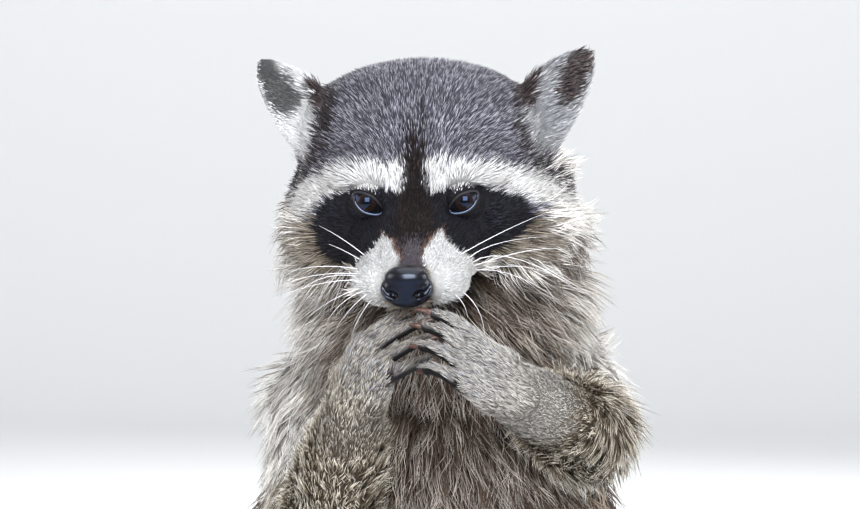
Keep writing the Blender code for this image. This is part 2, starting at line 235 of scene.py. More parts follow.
TAIL_RADII = (14, 21, 22, 21, 18, 7)
TAIL_LIFT, TAIL_STEPS = 11, 16
BODY_VOXEL = 3.2
SOLE_HEIGHT = 2


def turned(x=0, y=0, z=0):
    """A rotation in degrees, about X first, then Y, then Z."""
    about = [Matrix.Rotation(math.radians(t), 4, axis) for t, axis in zip((z, y, x), "ZYX")]
    return about[0] @ about[1] @ about[2]


def only(thing):
    """Selects this object and nothing else."""
    bpy.ops.object.select_all(action="DESELECT")
    thing.select_set(True)
    bpy.context.view_layer.objects.active = thing


def join(things):
    """Makes the things one, under the first one's name."""
    only(things[0])
    for thing in things[1:]:
        thing.select_set(True)
    if len(things) > 1:
        bpy.ops.object.join()
    return things[0]


def apply_modifier(thing, kind, **settings):
    """Adds a modifier with these settings and applies it."""
    only(thing)
    tool = thing.modifiers.new(kind.lower(), kind)
    for key, value in settings.items():
        setattr(tool, key, value)
    bpy.ops.object.modifier_apply(modifier=tool.name)
    return thing


def ball(centre, radii, place=WORLD, turn=(0, 0, 0), segments=32):
    """An ellipsoid, with its centre and radii in millimetres and its turn in degrees."""
    bpy.ops.mesh.primitive_uv_sphere_add(segments=segments, ring_count=segments // 2, radius=1)
    made = bpy.context.active_object
    size = Matrix.Diagonal((*(Vector(radii) * MM), 1))
    made.data.transform(place @ Matrix.Translation(Vector(centre) * MM) @ turned(*turn) @ size)
    return made


def limb(stations, place=WORLD, step=0.35):
    """A tapered limb through stations of (x, y, z, radius) in millimetres, as a close row of balls."""
    line = [Vector(s) for s in stations]
    for _ in range(2 if len(stations) > 2 else 0):
        halves = [(a + b) / 2 for a, b in zip(line, line[1:])]
        eased = [m * 0.5 + (a + b) * 0.25 for a, m, b in zip(halves, line[1:-1], halves[1:])]
        ends = [line[0], *eased, line[-1]]
        line = [p for pair in zip(ends, halves) for p in pair] + [ends[-1]]
    row = []
    for a, b in zip(line, line[1:]):
        count = max(1, math.ceil((b - a).xyz.length / (step * min(a.w, b.w))))
        row += [a.lerp(b, number / count) for number in range(count)]
    return join([ball(p.xyz, (p.w,) * 3, place, segments=16) for p in (*row, line[-1])])


def fused(masses, voxel, rounds=0, factor=0.5):
    """One closed skin over all the masses, of voxels this many millimetres wide, smoothed so many times."""
    whole = apply_modifier(join(masses), "REMESH", mode="VOXEL", voxel_size=voxel * MM)
    if rounds:
        apply_modifier(whole, "SMOOTH", iterations=rounds, factor=factor)
    return whole


def tail_station(share):
    """A point of the tail's bone and the flesh's radius there, at this share of the way to the tip."""
    angle = math.radians(TAIL_FROM + (TAIL_TO - TAIL_FROM) * share)
    radius = np.interp(share * (len(TAIL_RADII) - 1), range(len(TAIL_RADII)), TAIL_RADII)
    x = TAIL_CENTRE[0] + TAIL_ARC_RADIUS * math.cos(angle)
    y = TAIL_CENTRE[1] + TAIL_ARC_RADIUS * math.sin(angle)
    return x, y, radius + TAIL_LIFT, radius


trunk = limb([(0, 4, 92, 84), (0, -4, 160, 85), (1, -14, 232, 69), (3, -22, 284, 49)])
trunk.data.transform(Matrix.Diagonal((1.05, 0.97, 1, 1)))
masses = [
    trunk,
    ball((0, -2, 88), (91, 79, 80)),  # belly and seat
    ball((3, -20, 270), (71, 55, 38)),  # shoulders
    limb([(-4, -46, 346, 40), (0, -30, 318, 44), (2, -18, 290, 50), (2, -14, 262, 56)]),  # neck
    ball((6, -34, 316), (60, 44, 42)),  # nape and throat
    ball((-1, -64, 310), (40, 29, 26)),  # under the bib
    ball((0, -48, 268), (46, 38, 46)),  # breast
    limb([tail_station(number / TAIL_STEPS) for number in range(TAIL_STEPS + 1)]),
]
for word, side in SIDES.items():
    along = Vector(PALM_ALONG[word]).normalized()
    wrist = Vector(KNUCKLE_AT[word]) - along * PALM_LENGTH
    elbow, shoulder = Vector(ELBOW_AT[word]), Vector(SHOULDER_AT[word])
    toward, thick = (elbow - wrist).normalized(), ELBOW_RADIUS[word]
    heel, knee, hip = (Vector((side * p[0], *p[1:])) for p in (HEEL_AT, KNEE_AT, HIP_AT))
    masses += [
        limb([(*(wrist + toward * 2), 12.6), (*wrist.lerp(elbow, 0.45), 15.6), (*elbow, thick)]),
        limb([(*elbow, thick), (*elbow.lerp(shoulder, 0.5), 20), (*shoulder, 21)]),
        limb([(*knee, 23), (*knee.lerp(heel, 0.5), 19), (*heel, 13)]),
        limb([(*hip, 51), (*hip.lerp(knee, 0.5), 45), (*knee, 28)]),
    ]
skin = fused(masses, BODY_VOXEL, rounds=8, factor=0.6)
skin.name = "skin"

# ----------------------------------------------------------------------
# Head, ears, hands and feet under the coat. The fur is short here, so their shape is modelled in full:
# skull, muzzle with whisker pads, cheeks, hollow ears, and every finger and toe over its bones.
HEAD_PITCH, HEAD_YAW, HEAD_ROLL = 14, -4.5, -1  # nose down, turned to its right, and a slight tilt
EYE_BACK = -1.5  # the eyes' centres in the head's frame, forward of its origin
CHEEK_WIDTH = {"right": 35, "left": 40}
HEAD_TURN = turned(HEAD_PITCH, 0, HEAD_YAW) @ turned(0, HEAD_ROLL, 0)
HEAD = Matrix.Translation(EYE_MID - HEAD_TURN @ (Vector((0, EYE_BACK, 0)) * MM)) @ HEAD_TURN
EAR_AT = {"right": (-47, 44, 21), "left": (50, 44, 23)}
EAR_TIP, EAR_LEAN, EAR_OPEN, EAR_THICK = 8, 31, 12, 0.42  # forward, sideways and turned out, in degrees
EAR_VOXEL, HEAD_VOXEL = 1.0, 1.2

masses = [
    ball((0, 42, 0), (53, 45, 43), HEAD),  # braincase
    ball((0, 40, 21), (50, 35, 28), HEAD),  # broad crown
    ball((0, 20, -8), (41, 28.5, 26), HEAD),  # face
    limb([(0, 10, -11, 20.5), (0, -22, -17, 17.4), (0, -49, -20.5, 9.8)], HEAD),  # muzzle
    limb([(0, 15, -30, 16), (2, -33, -34.5, 7.6)], HEAD),  # lower jaw
]
ear_frames = {}
for word, side in SIDES.items():
    out = side * CHEEK_WIDTH[word]
    masses += [
        limb([(side * 15, 6, -17, 17), (side * 11, -28, -22.5, 11.5)], HEAD),  # upper jaw
        ball((side * 11, -29, -24), (13, 18, 11), HEAD),  # whisker pad
        ball((side * 21, 8, 10), (17, 10.5, 7.5), HEAD, turn=(0, -side * 8, 0)),  # brow
        ball((side * 27, 12, -12), (20, 17, 18), HEAD),  # cheekbone
        ball((out * 0.95, 24, -15), (22, 22, 24), HEAD),  # cheek
        ball((out * 1.12, 46, -16), (19, 24, 29), HEAD, turn=(0, side * -10, 0)),  # under the ruff
    ]
    root = Matrix.Translation(Vector(EAR_AT[word]) * MM) @ turned(EAR_TIP, side * EAR_LEAN, side * EAR_OPEN)
    ear_frames[word] = HEAD @ root
    flat = HEAD @ root @ Matrix.Diagonal((1, EAR_THICK, 1, 1))
    shell = limb([(0, 0, -6, 15.5), (0, 0, 12, 14.8), (side * 2, 0, 26, 9.6), (side * 3, 0, 35.5, 3)])
    shell.data.transform(flat)
    fused([shell], EAR_VOXEL)
    hollow = ball((side, -10.5, 14), (11.0, 8.5, 19), flat)
    apply_modifier(shell, "BOOLEAN", operation="DIFFERENCE", object=hollow, solver="MANIFOLD")
    bpy.data.objects.remove(hollow)
    masses.append(shell)
head = fused(masses, HEAD_VOXEL, rounds=6)

# Each hand is a palm over the wrist and five digits that bend in to meet the other hand's, the thumb lowest.
# A foot has the same digits, shorter and straighter. The first of each five is the thumb or the inner toe.
FINGER_BENDS = {"right": (50, 16, 14), "left": (24, 30, 28)}
FINGER_SWING = {"right": -11, "left": 14}
THUMB_DEPTH = 5
DIGIT_SPREAD = (24, -2, 1, 0, -3)
DIGIT_LENGTH = (0.72, 0.94, 1.0, 0.97, 0.86)
DIGIT_BEND = (1.2, 0.85, 1.0, 1.1, 1.25)
DIGIT_REACH = (-14, -1, 0, -1, -4)
DIGIT_ACROSS = (6, 9.6, 3.2, -3.4, -9.6)
FINGER_BONES, FINGER_RADII = (9.5, 7, 6), (3.45, 3.0, 2.75, 2.4)
TOE_BONES, TOE_RADII, TOE_BENDS, TOE_DROP = (10, 8, 7), (5.4, 4.8, 4.6, 4.0), (8, 14, 10), -3.5
HAND_VOXEL, FOOT_VOXEL = 0.62, 1.3
CLAW_ROOTS_OUT = {"hand": 1.2, "foot": 3}


def paw_frame(at, along, across):
    """A frame whose Y runs along the palm and X from little finger to thumb side."""
    y = Vector(along).normalized()
    x = (Vector(across) - y * y.dot(Vector(across))).normalized()
    return Matrix((x, y, x.cross(y))).transposed().to_4x4(), Vector(at)


def digit(turn, at, side, index, bones, radii, bends, lift, swing=0):
    """One finger or toe: thick at the joints and slimmer between them, with a round pad under its tip."""
    way = turned(0, 0, -DIGIT_SPREAD[index] - swing)
    points, angle = [Vector((DIGIT_ACROSS[index], DIGIT_REACH[index], lift))], 0
    for bone, bend in zip(bones, bends):
        angle += math.radians(bend * DIGIT_BEND[index])
        step = way @ Vector((0, math.cos(angle), -side * math.sin(angle)))
        points.append(points[-1] + step * bone * DIGIT_LENGTH[index])
    stations = []
    for number, (point, radius) in enumerate(zip(points, radii)):
        stations.append((*(turn @ point + at), radius))
        if number + 1 < len(points):
            waist = 0.9 * (radius + radii[number + 1]) / 2
            stations.append((*(turn @ ((point + points[number + 1]) / 2) + at), waist))
    drop = Vector((0, 0, -side * 0.4 * radii[-1]))
    tip_pad = ball(turn @ (points[-1] + way @ drop) + at, (radii[-1] * 0.95,) * 3, segments=16)
    hinge = turn @ (way @ Vector((1, 0, 0)))
    return [limb(stations, step=0.5), tip_pad], turn @ points[-1] + at, turn @ step, hinge


hand_ways, foot_ways, paws, claw_roots = {}, {}, [], []
for word, side in SIDES.items():
    turn, knuckle = paw_frame(KNUCKLE_AT[word], PALM_ALONG[word], PALM_ACROSS[word])
    along, across = turn @ Vector((0, 1, 0)), turn @ Vector((1, 0, 0))
    wrist = knuckle - along * PALM_LENGTH
    hand_ways[word] = (wrist * MM, knuckle * MM, turn @ Vector((0, 0, side)))
    masses = [
        limb([(*(wrist - along * 5), 11.6), (*(wrist + along * 8), 10.4)]),
        limb([(*(wrist + along * 6 - across * 4), 9.0), (*(knuckle - across * 6 - along * 3), 6.3)]),
        limb([(*(wrist + along * 6 + across * 4), 9.0), (*(knuckle + across * 6 - along * 3), 6.3)]),
    ]
    digits = []
    for index in range(len(DIGIT_SPREAD)):
        lift = -side * THUMB_DEPTH if index == 0 else 0
        flesh, tip, way, hinge = digit(
            turn, knuckle, side, index, FINGER_BONES, FINGER_RADII, FINGER_BENDS[word], lift,
            FINGER_SWING[word],
        )
        masses += flesh
        digits.append((tip + way * CLAW_ROOTS_OUT["hand"], way, hinge, side))
    claw_roots.append(("hand", word, digits))
    paws.append(fused(masses, HAND_VOXEL, rounds=3))
    forefoot = Vector((side * BALL_OF_FOOT[0], *BALL_OF_FOOT[1:]))
    heel = Vector((side * HEEL_AT[0], *HEEL_AT[1:]))
    turn, knuckle = paw_frame(forefoot, forefoot - heel - Vector((0, 0, -4)), (-side, 0, 0))
    across = turn @ Vector((1, 0, 0))
    foot_ways[word] = (heel * MM, forefoot * MM)
    masses = [
        limb([(*heel, 12.5), (*heel.lerp(forefoot, 0.5), 12), (*forefoot, 10.6)]),
        limb([(*(forefoot - across * 7), 9), (*(forefoot + across * 7), 9)]),
    ]
    digits = []
    for index in range(len(DIGIT_SPREAD)):
        flesh, tip, way, hinge = digit(
            turn, knuckle, -side, index, TOE_BONES, TOE_RADII, TOE_BENDS, TOE_DROP
        )
        masses += flesh
        digits.append((tip + way * CLAW_ROOTS_OUT["foot"] + Vector((0, 0, 0.6)), way, hinge, -side))
    claw_roots.append(("foot", word, digits))
    paws.append(fused(masses, FOOT_VOXEL, rounds=3))
for part in (head, *paws):
    apply_modifier(skin, "BOOLEAN", operation="UNION", object=part, solver="MANIFOLD")
    bpy.data.objects.remove(part)


def column(elements, key, width, kind=np.int64):
    """One property of a mesh's elements, with a row of this many numbers for each."""
    out = np.empty(len(elements) * width, dtype=kind)
    elements.foreach_get(key, out)
    return out.reshape(-1, width)


def places(thing):
    """Where the mesh's points are."""
    return column(thing.data.vertices, "co", 3, float)


def put_places(thing, points):
    """Moves the mesh's points to these places."""
    thing.data.vertices.foreach_set("co", np.ascontiguousarray(points).ravel())
    thing.data.update()


def unit(rows):
    """Each row as a direction of length one."""
    return rows / np.maximum(np.linalg.norm(rows, axis=-1, keepdims=True), 1e-12)


def spread_over(thing, values, rounds):
    """Values on the points, averaged along the edges so many times."""
    count = len(thing.data.vertices)
    ends = column(thing.data.edges, "vertices", 2).T
    both, other = np.concatenate(ends), np.concatenate(ends[::-1])
    degree = np.maximum(np.bincount(both, minlength=count), 1)
    flat = np.array(values, dtype=float).reshape(count, -1)
    for _ in range(rounds):
        flat = np.stack([np.bincount(both, row[other], count) / degree for row in flat.T], 1)
    return flat.reshape(np.shape(values))


def ease(value, start, end):
    """From 0 at start to 1 at end, smoothly, and flat beyond."""
    share = np.clip((value - start) / (end - start), 0, 1)
    return share * share * (3 - 2 * share)


TO_HEAD = np.array(HEAD.inverted())


def head_place(points):
    """Places in the head's own frame, in millimetres."""
    return (points @ TO_HEAD[:3, :3].T + TO_HEAD[:3, 3]) / MM


# The skin is soft where the coat is long, and crisp on face, ears, hands and feet. Seat and soles lie flat.
points = places(skin)
local = head_place(points)
soft = ease(local[:, 1], 6, 22)
for wrist, knuckle, _ in hand_ways.values():
    soft *= ease(np.linalg.norm(points - np.array(wrist), axis=1) / MM, 4, 16)
    soft *= ease(np.linalg.norm(points - np.array(knuckle), axis=1) / MM, 32, 40)
for heel, forefoot in foot_ways.values():
    soft *= ease(np.linalg.norm(points - np.array(forefoot), axis=1) / MM, 36, 56)
for word in SIDES:
    soft *= ease(np.linalg.norm(local - np.array(EAR_AT[word]) - (0, 0, 16), axis=1), 22, 32)
crisp = spread_over(skin, points, 1)
even = spread_over(skin, crisp, 16)
settled = crisp + (even - crisp) * soft[:, None]
settled[:, 2] = np.maximum(settled[:, 2], SOLE_HEIGHT * MM)
put_places(skin, settled)

# It keeps this share of its faces, but all of them round the eyes, where the lids are still to be shaped.
SKIN_KEPT, EYE_ROOM = 0.7, 44
by_eyes = np.linalg.norm(local - (0, EYE_BACK, 0), axis=1) < EYE_ROOM
elsewhere = skin.vertex_groups.new(name="elsewhere")
elsewhere.add(np.where(~by_eyes)[0].tolist(), 1.0, "REPLACE")
apply_modifier(skin, "DECIMATE", ratio=SKIN_KEPT, vertex_group="elsewhere")

# ----------------------------------------------------------------------
# The lids. Skin closes over each eyeball but for a slanting opening: the upper lid runs down to the nose,
# which gives the scowl, and the lower one is a shallow bowl. They are raised out of the skin over the ball.
EYE_RADIUS = 7.4
LID_THICK, LID_EDGE, EDGE_THICK = 0.9, 1.6, 0.35  # how thick, and over what width it thins, to what share
LID_SKIRT, SKIRT_WIDTH = 2.2, 3  # how far past the ball's edge it reaches, and over what width it fades there
SUNK, OPEN_EDGE = 1.3, 0.7  # how deep the skin lies behind the opening, and how wide the step down to it is
LID_ROOM, LID_BEHIND, LID_CUTS = 13, -2, 3  # where round the eye the skin gets finer, and by how many cuts

# Both eyes look at whoever stands in front. An opening's points are out from the iris and up, in millimetres,
# from the outer corner along the upper lid to the nose, and back along the lower one.
LOOK = Vector((0, -math.cos(CAMERA_LIFT), math.sin(CAMERA_LIFT)))
LOOK_UP = Vector((0, math.sin(CAMERA_LIFT), math.cos(CAMERA_LIFT)))
OPENING = [
    (5.2, 4.1), (3.2, 4.4), (0.8, 3.8), (-2.6, 2.5), (-5.3, -0.4), (-6.9, -3.2),
    (-6.2, -4.9), (-4.2, -5.4), (-1.6, -5.1), (1.4, -4.2), (3.9, -2.0), (5.3, 0.8), (5.7, 2.8),
]


def rounded_loop(points, rounds=2):
    """A closed line with its corners cut so many times."""
    for _ in range(rounds):
        after = points[1:] + points[:1]
        points = [p for a, b in zip(points, after) for p in (a * 0.75 + b * 0.25, a * 0.25 + b * 0.75)]
    return points


def distance_to_loop(loop, flat):
    """How far each flat point is outside the loop, or negative inside it."""
    starts, ends = np.array(loop), np.roll(np.array(loop), -1, axis=0)
    spans = ends - starts
    away = flat[:, None, :] - starts
    share = np.clip((away * spans).sum(2) / (spans**2).sum(1), 0, 1)
    nearest = np.linalg.norm(away - share[..., None] * spans, axis=2).min(1)
    crosses = (starts[:, 1] > flat[:, 1:2]) != (ends[:, 1] > flat[:, 1:2])
    rises = np.where(spans[:, 1] == 0, 1e-9, spans[:, 1])
    at = starts[:, 0] + (flat[:, 1:2] - starts[:, 1]) * spans[:, 0] / rises
    inside = (crosses & (flat[:, 0:1] < at)).sum(1) % 2 == 1
    return np.where(inside, -nearest, nearest)


def seen_by_eye(points, word):
    """Millimetres from the middle of an eye: as they are, out and up as it looks, and ahead of it."""
    away = (points - np.array(eyes[word])) / MM
    flat = np.stack([away[:, 0] * SIDES[word], away @ np.array(LOOK_UP)], 1)
    return away, flat, away @ np.array(LOOK)


def past_lids(points, word):
    """How far each point is from the middle of an eye, and from the opening of its lids, in millimetres."""
    away, flat, _ = seen_by_eye(points, word)
    return np.linalg.norm(away, axis=1), distance_to_loop(LID_LINE, flat)


eyes = {}
LID_LINE = rounded_loop([Vector(p) for p in OPENING])
for word in SIDES:
    low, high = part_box(f"eye_{word}")
    eyes[word] = (low + high) / 2
    away, _, deep = seen_by_eye(places(skin), word)
    near_eye = (np.linalg.norm(away, axis=1) < LID_ROOM) & (deep > LID_BEHIND)
    whole = bmesh.new()
    whole.from_mesh(skin.data)
    whole.verts.ensure_lookup_table()
    edges = [e for e in whole.edges if near_eye[e.verts[0].index] and near_eye[e.verts[1].index]]
    bmesh.ops.subdivide_edges(whole, edges=edges, cuts=LID_CUTS, use_grid_fill=True)
    whole.to_mesh(skin.data)
    whole.free()
    points = places(skin)
    _, flat, deep = seen_by_eye(points, word)
    radius = np.linalg.norm(flat, axis=1)
    here = np.where((radius < LID_ROOM) & (deep > LID_BEHIND))[0]
    outside = distance_to_loop(LID_LINE, flat[here])
    lid = EYE_RADIUS + LID_THICK * np.clip(outside / LID_EDGE + EDGE_THICK, EDGE_THICK, 1)
    cover = np.sqrt(np.maximum(lid**2 - radius[here] ** 2, 0))
    rim = np.clip((EYE_RADIUS + LID_SKIRT - radius[here]) / SKIRT_WIDTH, 0, 1)
    raised = np.maximum(deep[here], cover * rim + deep[here] * (1 - rim))
    sunk = np.sqrt(np.maximum((EYE_RADIUS - SUNK) ** 2 - radius[here] ** 2, 1.0))
    open_share = np.clip(0.5 - outside / OPEN_EDGE, 0, 1)
    target = raised * (1 - open_share) + sunk * open_share
    points[here] += np.outer(target - deep[here], np.array(LOOK)) * MM
    put_places(skin, points)
replaced = [n for n in frame["nodes"] if "claw" not in n and not n.startswith("eye") and n != "nose"]
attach(skin, "root")
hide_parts(*replaced)

# ----------------------------------------------------------------------
# The eyes: dark glass balls, painted with a brown iris and bulging a little over it. Each lid has a thin
# black rim of bare skin, and along the lower one stands a pale blue line, a painted reflection of light on
# its wet edge. The balls sit under the lids.
PUPIL, IRIS, PAINTED = 1.7, 3.7, 8
BULGE, BULGE_FROM, BULGE_TO = 0.45, 0.5, 4.6
RIM_OUT, RIM_RADIUS = 0.35, 0.55
GLINT_OUT, GLINT_RADIUS, GLINT_INSET = 0.46, 0.3, 0.05
EYE_TONES = [  # millimetres out from the pupil's middle, and the colour there
    (0, (0.002, 0.002, 0.003)), (PUPIL, (0.002, 0.002, 0.003)), (PUPIL + 0.24, (0.007, 0.004, 0.003)),
    (IRIS - 0.48, (0.013, 0.007, 0.004)), (IRIS, (0.012, 0.008, 0.007)), (IRIS + 0.4, (0.004, 0.004, 0.005)),
    (PAINTED, (0.010, 0.009, 0.011)),
]
LID_SKINS = {  # piece: its material, roughness, dark tone and light tone
    "lid_rims": ("bare_skin", 0.5, (0.006, 0.006, 0.008), (0.022, 0.020, 0.024)),
    # the pale blue line on the lower lid: a painted reflection of light on its wet edge
    "painted_wet_glints": ("painted_glint_skin", 0.12, (0.10, 0.14, 0.23), (0.20, 0.26, 0.38)),
}

# Speckles: a colour that a noise makes darker or lighter, from Least to Most times as bright.
speckles, given = new_group(
    "speckles",
    {"Place": "Vector", "Color": "Color", "Scale": "Float", "Detail": "Float", "Least": "Float",
     "Most": "Float"},
    {"Color": "Color", "Noise": "Float"},
)
noise = new_node(
    speckles, "TexNoise", {"Vector": given["Place"], "Scale": given["Scale"], "Detail": given["Detail"]}
)
bright = new_node(
    speckles, "MapRange",
    {"Value": noise.outputs["Fac"], "To Min": given["Least"], "To Max": given["Most"]},
)
lit = new_node(
    speckles, "VectorMath", {0: given["Color"], "Scale": bright.outputs["Result"]}, operation="SCALE"
)
feed(speckles, speckles.nodes.new("NodeGroupOutput"), {
    "Color": lit.outputs["Vector"], "Noise": noise.outputs["Fac"],
})


def speckled(tree, place, colour, scale, least, most, detail=2):
    """What the group of speckles gives with these values: its colour and its noise."""
    return new_node(tree, "Group", {
        "Place": place, "Color": colour, "Scale": scale, "Detail": detail, "Least": least, "Most": most,
    }, node_tree=speckles).outputs


glass, tree, shader, place = new_material(
    "eye_glass", {"Roughness": 0.04, "Specular IOR Level": 0.3, "Specular Tint": (0.36, 0.55, 1.0, 1)}
)
from_pupil = new_node(tree, "Attribute", {}, attribute_name="from_pupil")
rings = new_node(tree, "ValToRGB", {"Fac": from_pupil.outputs["Fac"]})
stops = rings.color_ramp.elements
for gap, _ in EYE_TONES[1:-1]:
    stops.new(gap / PAINTED)
for stop, (_, colour) in zip(stops, EYE_TONES):
    stop.color = (*colour, 1)
iris = speckled(tree, place["Object"], rings.outputs["Color"], 1400, 0.5, 1.5)
feed(tree, shader, {"Base Color": iris["Color"]})


def tube(stations, name, sides=3):
    """A thin round line through stations of (place in metres, radius in millimetres), with closed ends."""
    line = bpy.data.curves.new(name, "CURVE")
    line.dimensions = "3D"
    line.bevel_depth = MM
    line.bevel_resolution = sides
    line.use_fill_caps = True
    spline = line.splines.new("POLY")
    spline.points.add(len(stations) - 1)
    for point, (at, radius) in zip(spline.points, stations):
        point.co = (*at, 1)
        point.radius = radius
    made = bpy.data.objects.new(name, line)
    bpy.context.scene.collection.objects.link(made)
    only(made)
    bpy.ops.object.convert(target="MESH")
    return made


def dress(thing, material):
    """Gives the thing this material alone, and smooth shading."""
    only(thing)
    bpy.ops.object.shade_smooth()
    thing.data.materials.clear()
    thing.data.materials.append(material)


def on_ball(word, flat, over):
    """This place of the view into an eye, on a ball this much larger than the eye, in millimetres."""
    radius = EYE_RADIUS + over
    rise = math.sqrt(max(radius**2 - flat.length_squared, 1.5))
    return eyes[word] + (Vector((SIDES[word] * flat.x, 0, 0)) + LOOK_UP * flat.y + LOOK * rise) * MM


lid_lines = {"lid_rims": [], "painted_wet_glints": []}
middle = sum(LID_LINE, Vector((0, 0))) / len(LID_LINE)
for word in SIDES:
    bpy.ops.mesh.primitive_uv_sphere_add(segments=64, ring_count=48, radius=EYE_RADIUS * MM)
    eye = bpy.context.active_object
    eye.name = f"eyeball_{word}"
    points = places(eye)
    gap = np.linalg.norm(points[:, :2], axis=1) / MM
    front = points[:, 2] > 0
    points += unit(points) * (BULGE * MM * (1 - ease(gap, BULGE_FROM, BULGE_TO)) * front)[:, None]
    put_places(eye, points)
    ring = eye.data.attributes.new("from_pupil", "FLOAT", "POINT")
    ring.data.foreach_set("value", np.where(front, gap / PAINTED, 1.0))
    turn = LOOK.to_track_quat("Z", "Y").to_matrix().to_4x4()
    eye.data.transform(Matrix.Translation(eyes[word]) @ turn)
    dress(eye, glass)
    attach(eye, "root")
    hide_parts(f"eye_{word}")

    # The rim goes all round the opening. The painted reflection keeps to its lower part, and thins
    # towards its ends.
    rim = [(on_ball(word, p, RIM_OUT), RIM_RADIUS) for p in LID_LINE]
    lid_lines["lid_rims"].append(tube(rim + rim[:2], "lid_rim"))
    lower = [p for p in LID_LINE if p.y < 3.4 - 0.9 * (5.7 - p.x) or p.y < -3.6]
    start = max(range(len(lower)), key=lambda n: (lower[n] - lower[n - 1]).length)
    glint_stations = []
    for number, flat in enumerate(lower[start:] + lower[:start]):
        left_to_go = len(lower) - 1 - number
        fade = min(1.0, 0.25 + 4 * number / len(lower), 0.25 + 2.2 * left_to_go / len(lower))
        glint_stations.append((on_ball(word, flat.lerp(middle, GLINT_INSET), GLINT_OUT), GLINT_RADIUS * fade))
    lid_lines["painted_wet_glints"].append(tube(glint_stations, "painted_glint_line"))

for name, lines in lid_lines.items():
    finish, roughness, dark, light = LID_SKINS[name]
    bare, tree, shader, place = new_material(finish, {"Roughness": roughness, "Specular IOR Level": 0.2})
    feed(tree, shader, {"Base Color": toned(tree, place["Object"], 2500, dark, light)})
    made = join(lines)
    made.name = name
    dress(made, bare)
    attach(made, "root")

# ----------------------------------------------------------------------
# The nose pad: bare black leather, broad above and narrow below, wet enough on top to shine. Each nostril is
# a round hole that runs out and up into a slit, and a groove parts the pad below. It caps the muzzle's end.
NOSE_AT = (0, -54.5, -19.5)
PAD_VOXEL, HOLE_VOXEL, NOSE_VOXEL = 0.4, 0.35, 0.36
pad = [
    ball(NOSE_AT, (10.3, 7.4, 8.4), HEAD),
    ball((0, -55.2, -15.6), (9.2, 6.4, 5.2), HEAD),  # top edge
    ball((0, -56.0, -23.6), (8.4, 5.4, 4.5), HEAD),  # lip
]
for side in SIDES.values():
    pad.append(ball((side * 6.6, -54.9, -20.9), (4.4, 5.9, 5.2), HEAD, turn=(0, side * 14, 0)))  # wing
nose = fused(pad, PAD_VOXEL, rounds=24)
cuts = [ball((0, -62.6, -27.0), (0.4, 1.9, 5.5), HEAD)]  # groove
for side in SIDES.values():
    cuts.append(ball((side * 5.4, -61.6, -21.2), (2.5, 3.6, 2.0), HEAD, turn=(0, side * -25, 0)))
    slit = [(6.4, -61.0, -21.2, 1.7), (9.0, -59.0, -20.0, 1.1), (10.4, -56.6, -16.6, 0.6)]
    cuts.append(limb([(side * x, y, z, radius) for x, y, z, radius in slit], HEAD, step=0.3))
cut = fused(cuts, HOLE_VOXEL)
apply_modifier(nose, "BOOLEAN", operation="DIFFERENCE", object=cut, solver="MANIFOLD")
bpy.data.objects.remove(cut)
fused([nose], NOSE_VOXEL, rounds=3)
nose.name = "nose_pad"

leather, tree, shader, place = new_material("nose_leather", {
    "Roughness": 0.3, "Specular IOR Level": 0.22, "Specular Tint": (0.35, 0.55, 1.0, 1),
    "Coat Roughness": 0.2,
})
pebbles = new_node(tree, "TexVoronoi", {"Vector": place["Object"], "Scale": 1300}).outputs["Distance"]
raised = new_node(tree, "Bump", {"Height": pebbles, "Strength": 0.22, "Distance": 0.0001}, invert=True)
faces_up = new_node(tree, "SeparateXYZ", {"Vector": place["Normal"]}).outputs["Z"]
wetness = new_node(
    tree, "MapRange", {"Value": faces_up, "From Min": -0.15, "From Max": 0.5, "To Min": 0.0, "To Max": 0.6}
)
feed(tree, shader, {
    "Base Color": toned(tree, place["Object"], 260, (0.002, 0.0015, 0.0015), (0.006, 0.004, 0.004)),
    "Coat Weight": wetness.outputs["Result"],
    "Normal": raised.outputs["Normal"],
})
dress(nose, leather)
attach(nose, "root")
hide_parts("nose")

# ----------------------------------------------------------------------
# The claws: five to each paw, of translucent reddish-brown horn, deeper than they are wide, curved and
# blunt. Each grows out of the end of its digit as one tapered piece.
CLAW_RADII, CLAW_BEND, CLAW_LIFT = (1.5, 1.45, 1.25, 0.95, 0.45), 11, 22  # bend and lift in degrees
CLAW_STEP, CLAW_SUNK = {"hand": 3.1, "foot": 2.4}, 0.8

horn, tree, shader, place = new_material("claw_horn", {"Roughness": 0.32, "Coat Weight": 0.3})
browns = toned(
    tree, place["Object"], 500, (0.022, 0.010, 0.009), (0.11, 0.050, 0.038), detail=5, start=0.3, end=0.72
)
feed(tree, shader, {"Base Color": browns})
for paw, word, digits in claw_roots:
    made = []
    for root, way, hinge, inward in digits:
        way = Matrix.Rotation(math.radians(inward * CLAW_LIFT), 3, hinge) @ way
        step = CLAW_STEP[paw]
        line = [root - way * step * CLAW_SUNK]
        for _ in CLAW_RADII[1:]:
            way = Matrix.Rotation(math.radians(-inward * CLAW_BEND), 3, hinge) @ way
            line.append(line[-1] + way * step)
        claw = tube([(p * MM, r) for p, r in zip(line, CLAW_RADII)], "claw", sides=4)
        apply_modifier(claw, "SUBSURF", levels=1, render_levels=1)
        made.append(claw)
    claws = join(made)
    claws.name = f"claws_{paw}_{word}"
    dress(claws, horn)
    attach(claws, "root")
    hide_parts(*[f"{paw}_{word}_claw_{number + 1}" for number in range(len(digits))])

# ----------------------------------------------------------------------
# The markings, in the kinds of hair a raccoon has: salt and pepper on the crown, black round the eyes, white
# on brows and muzzle, tan cheeks, pale ruff, wavy throat, mottled elbows, dark back and a ringed tail.

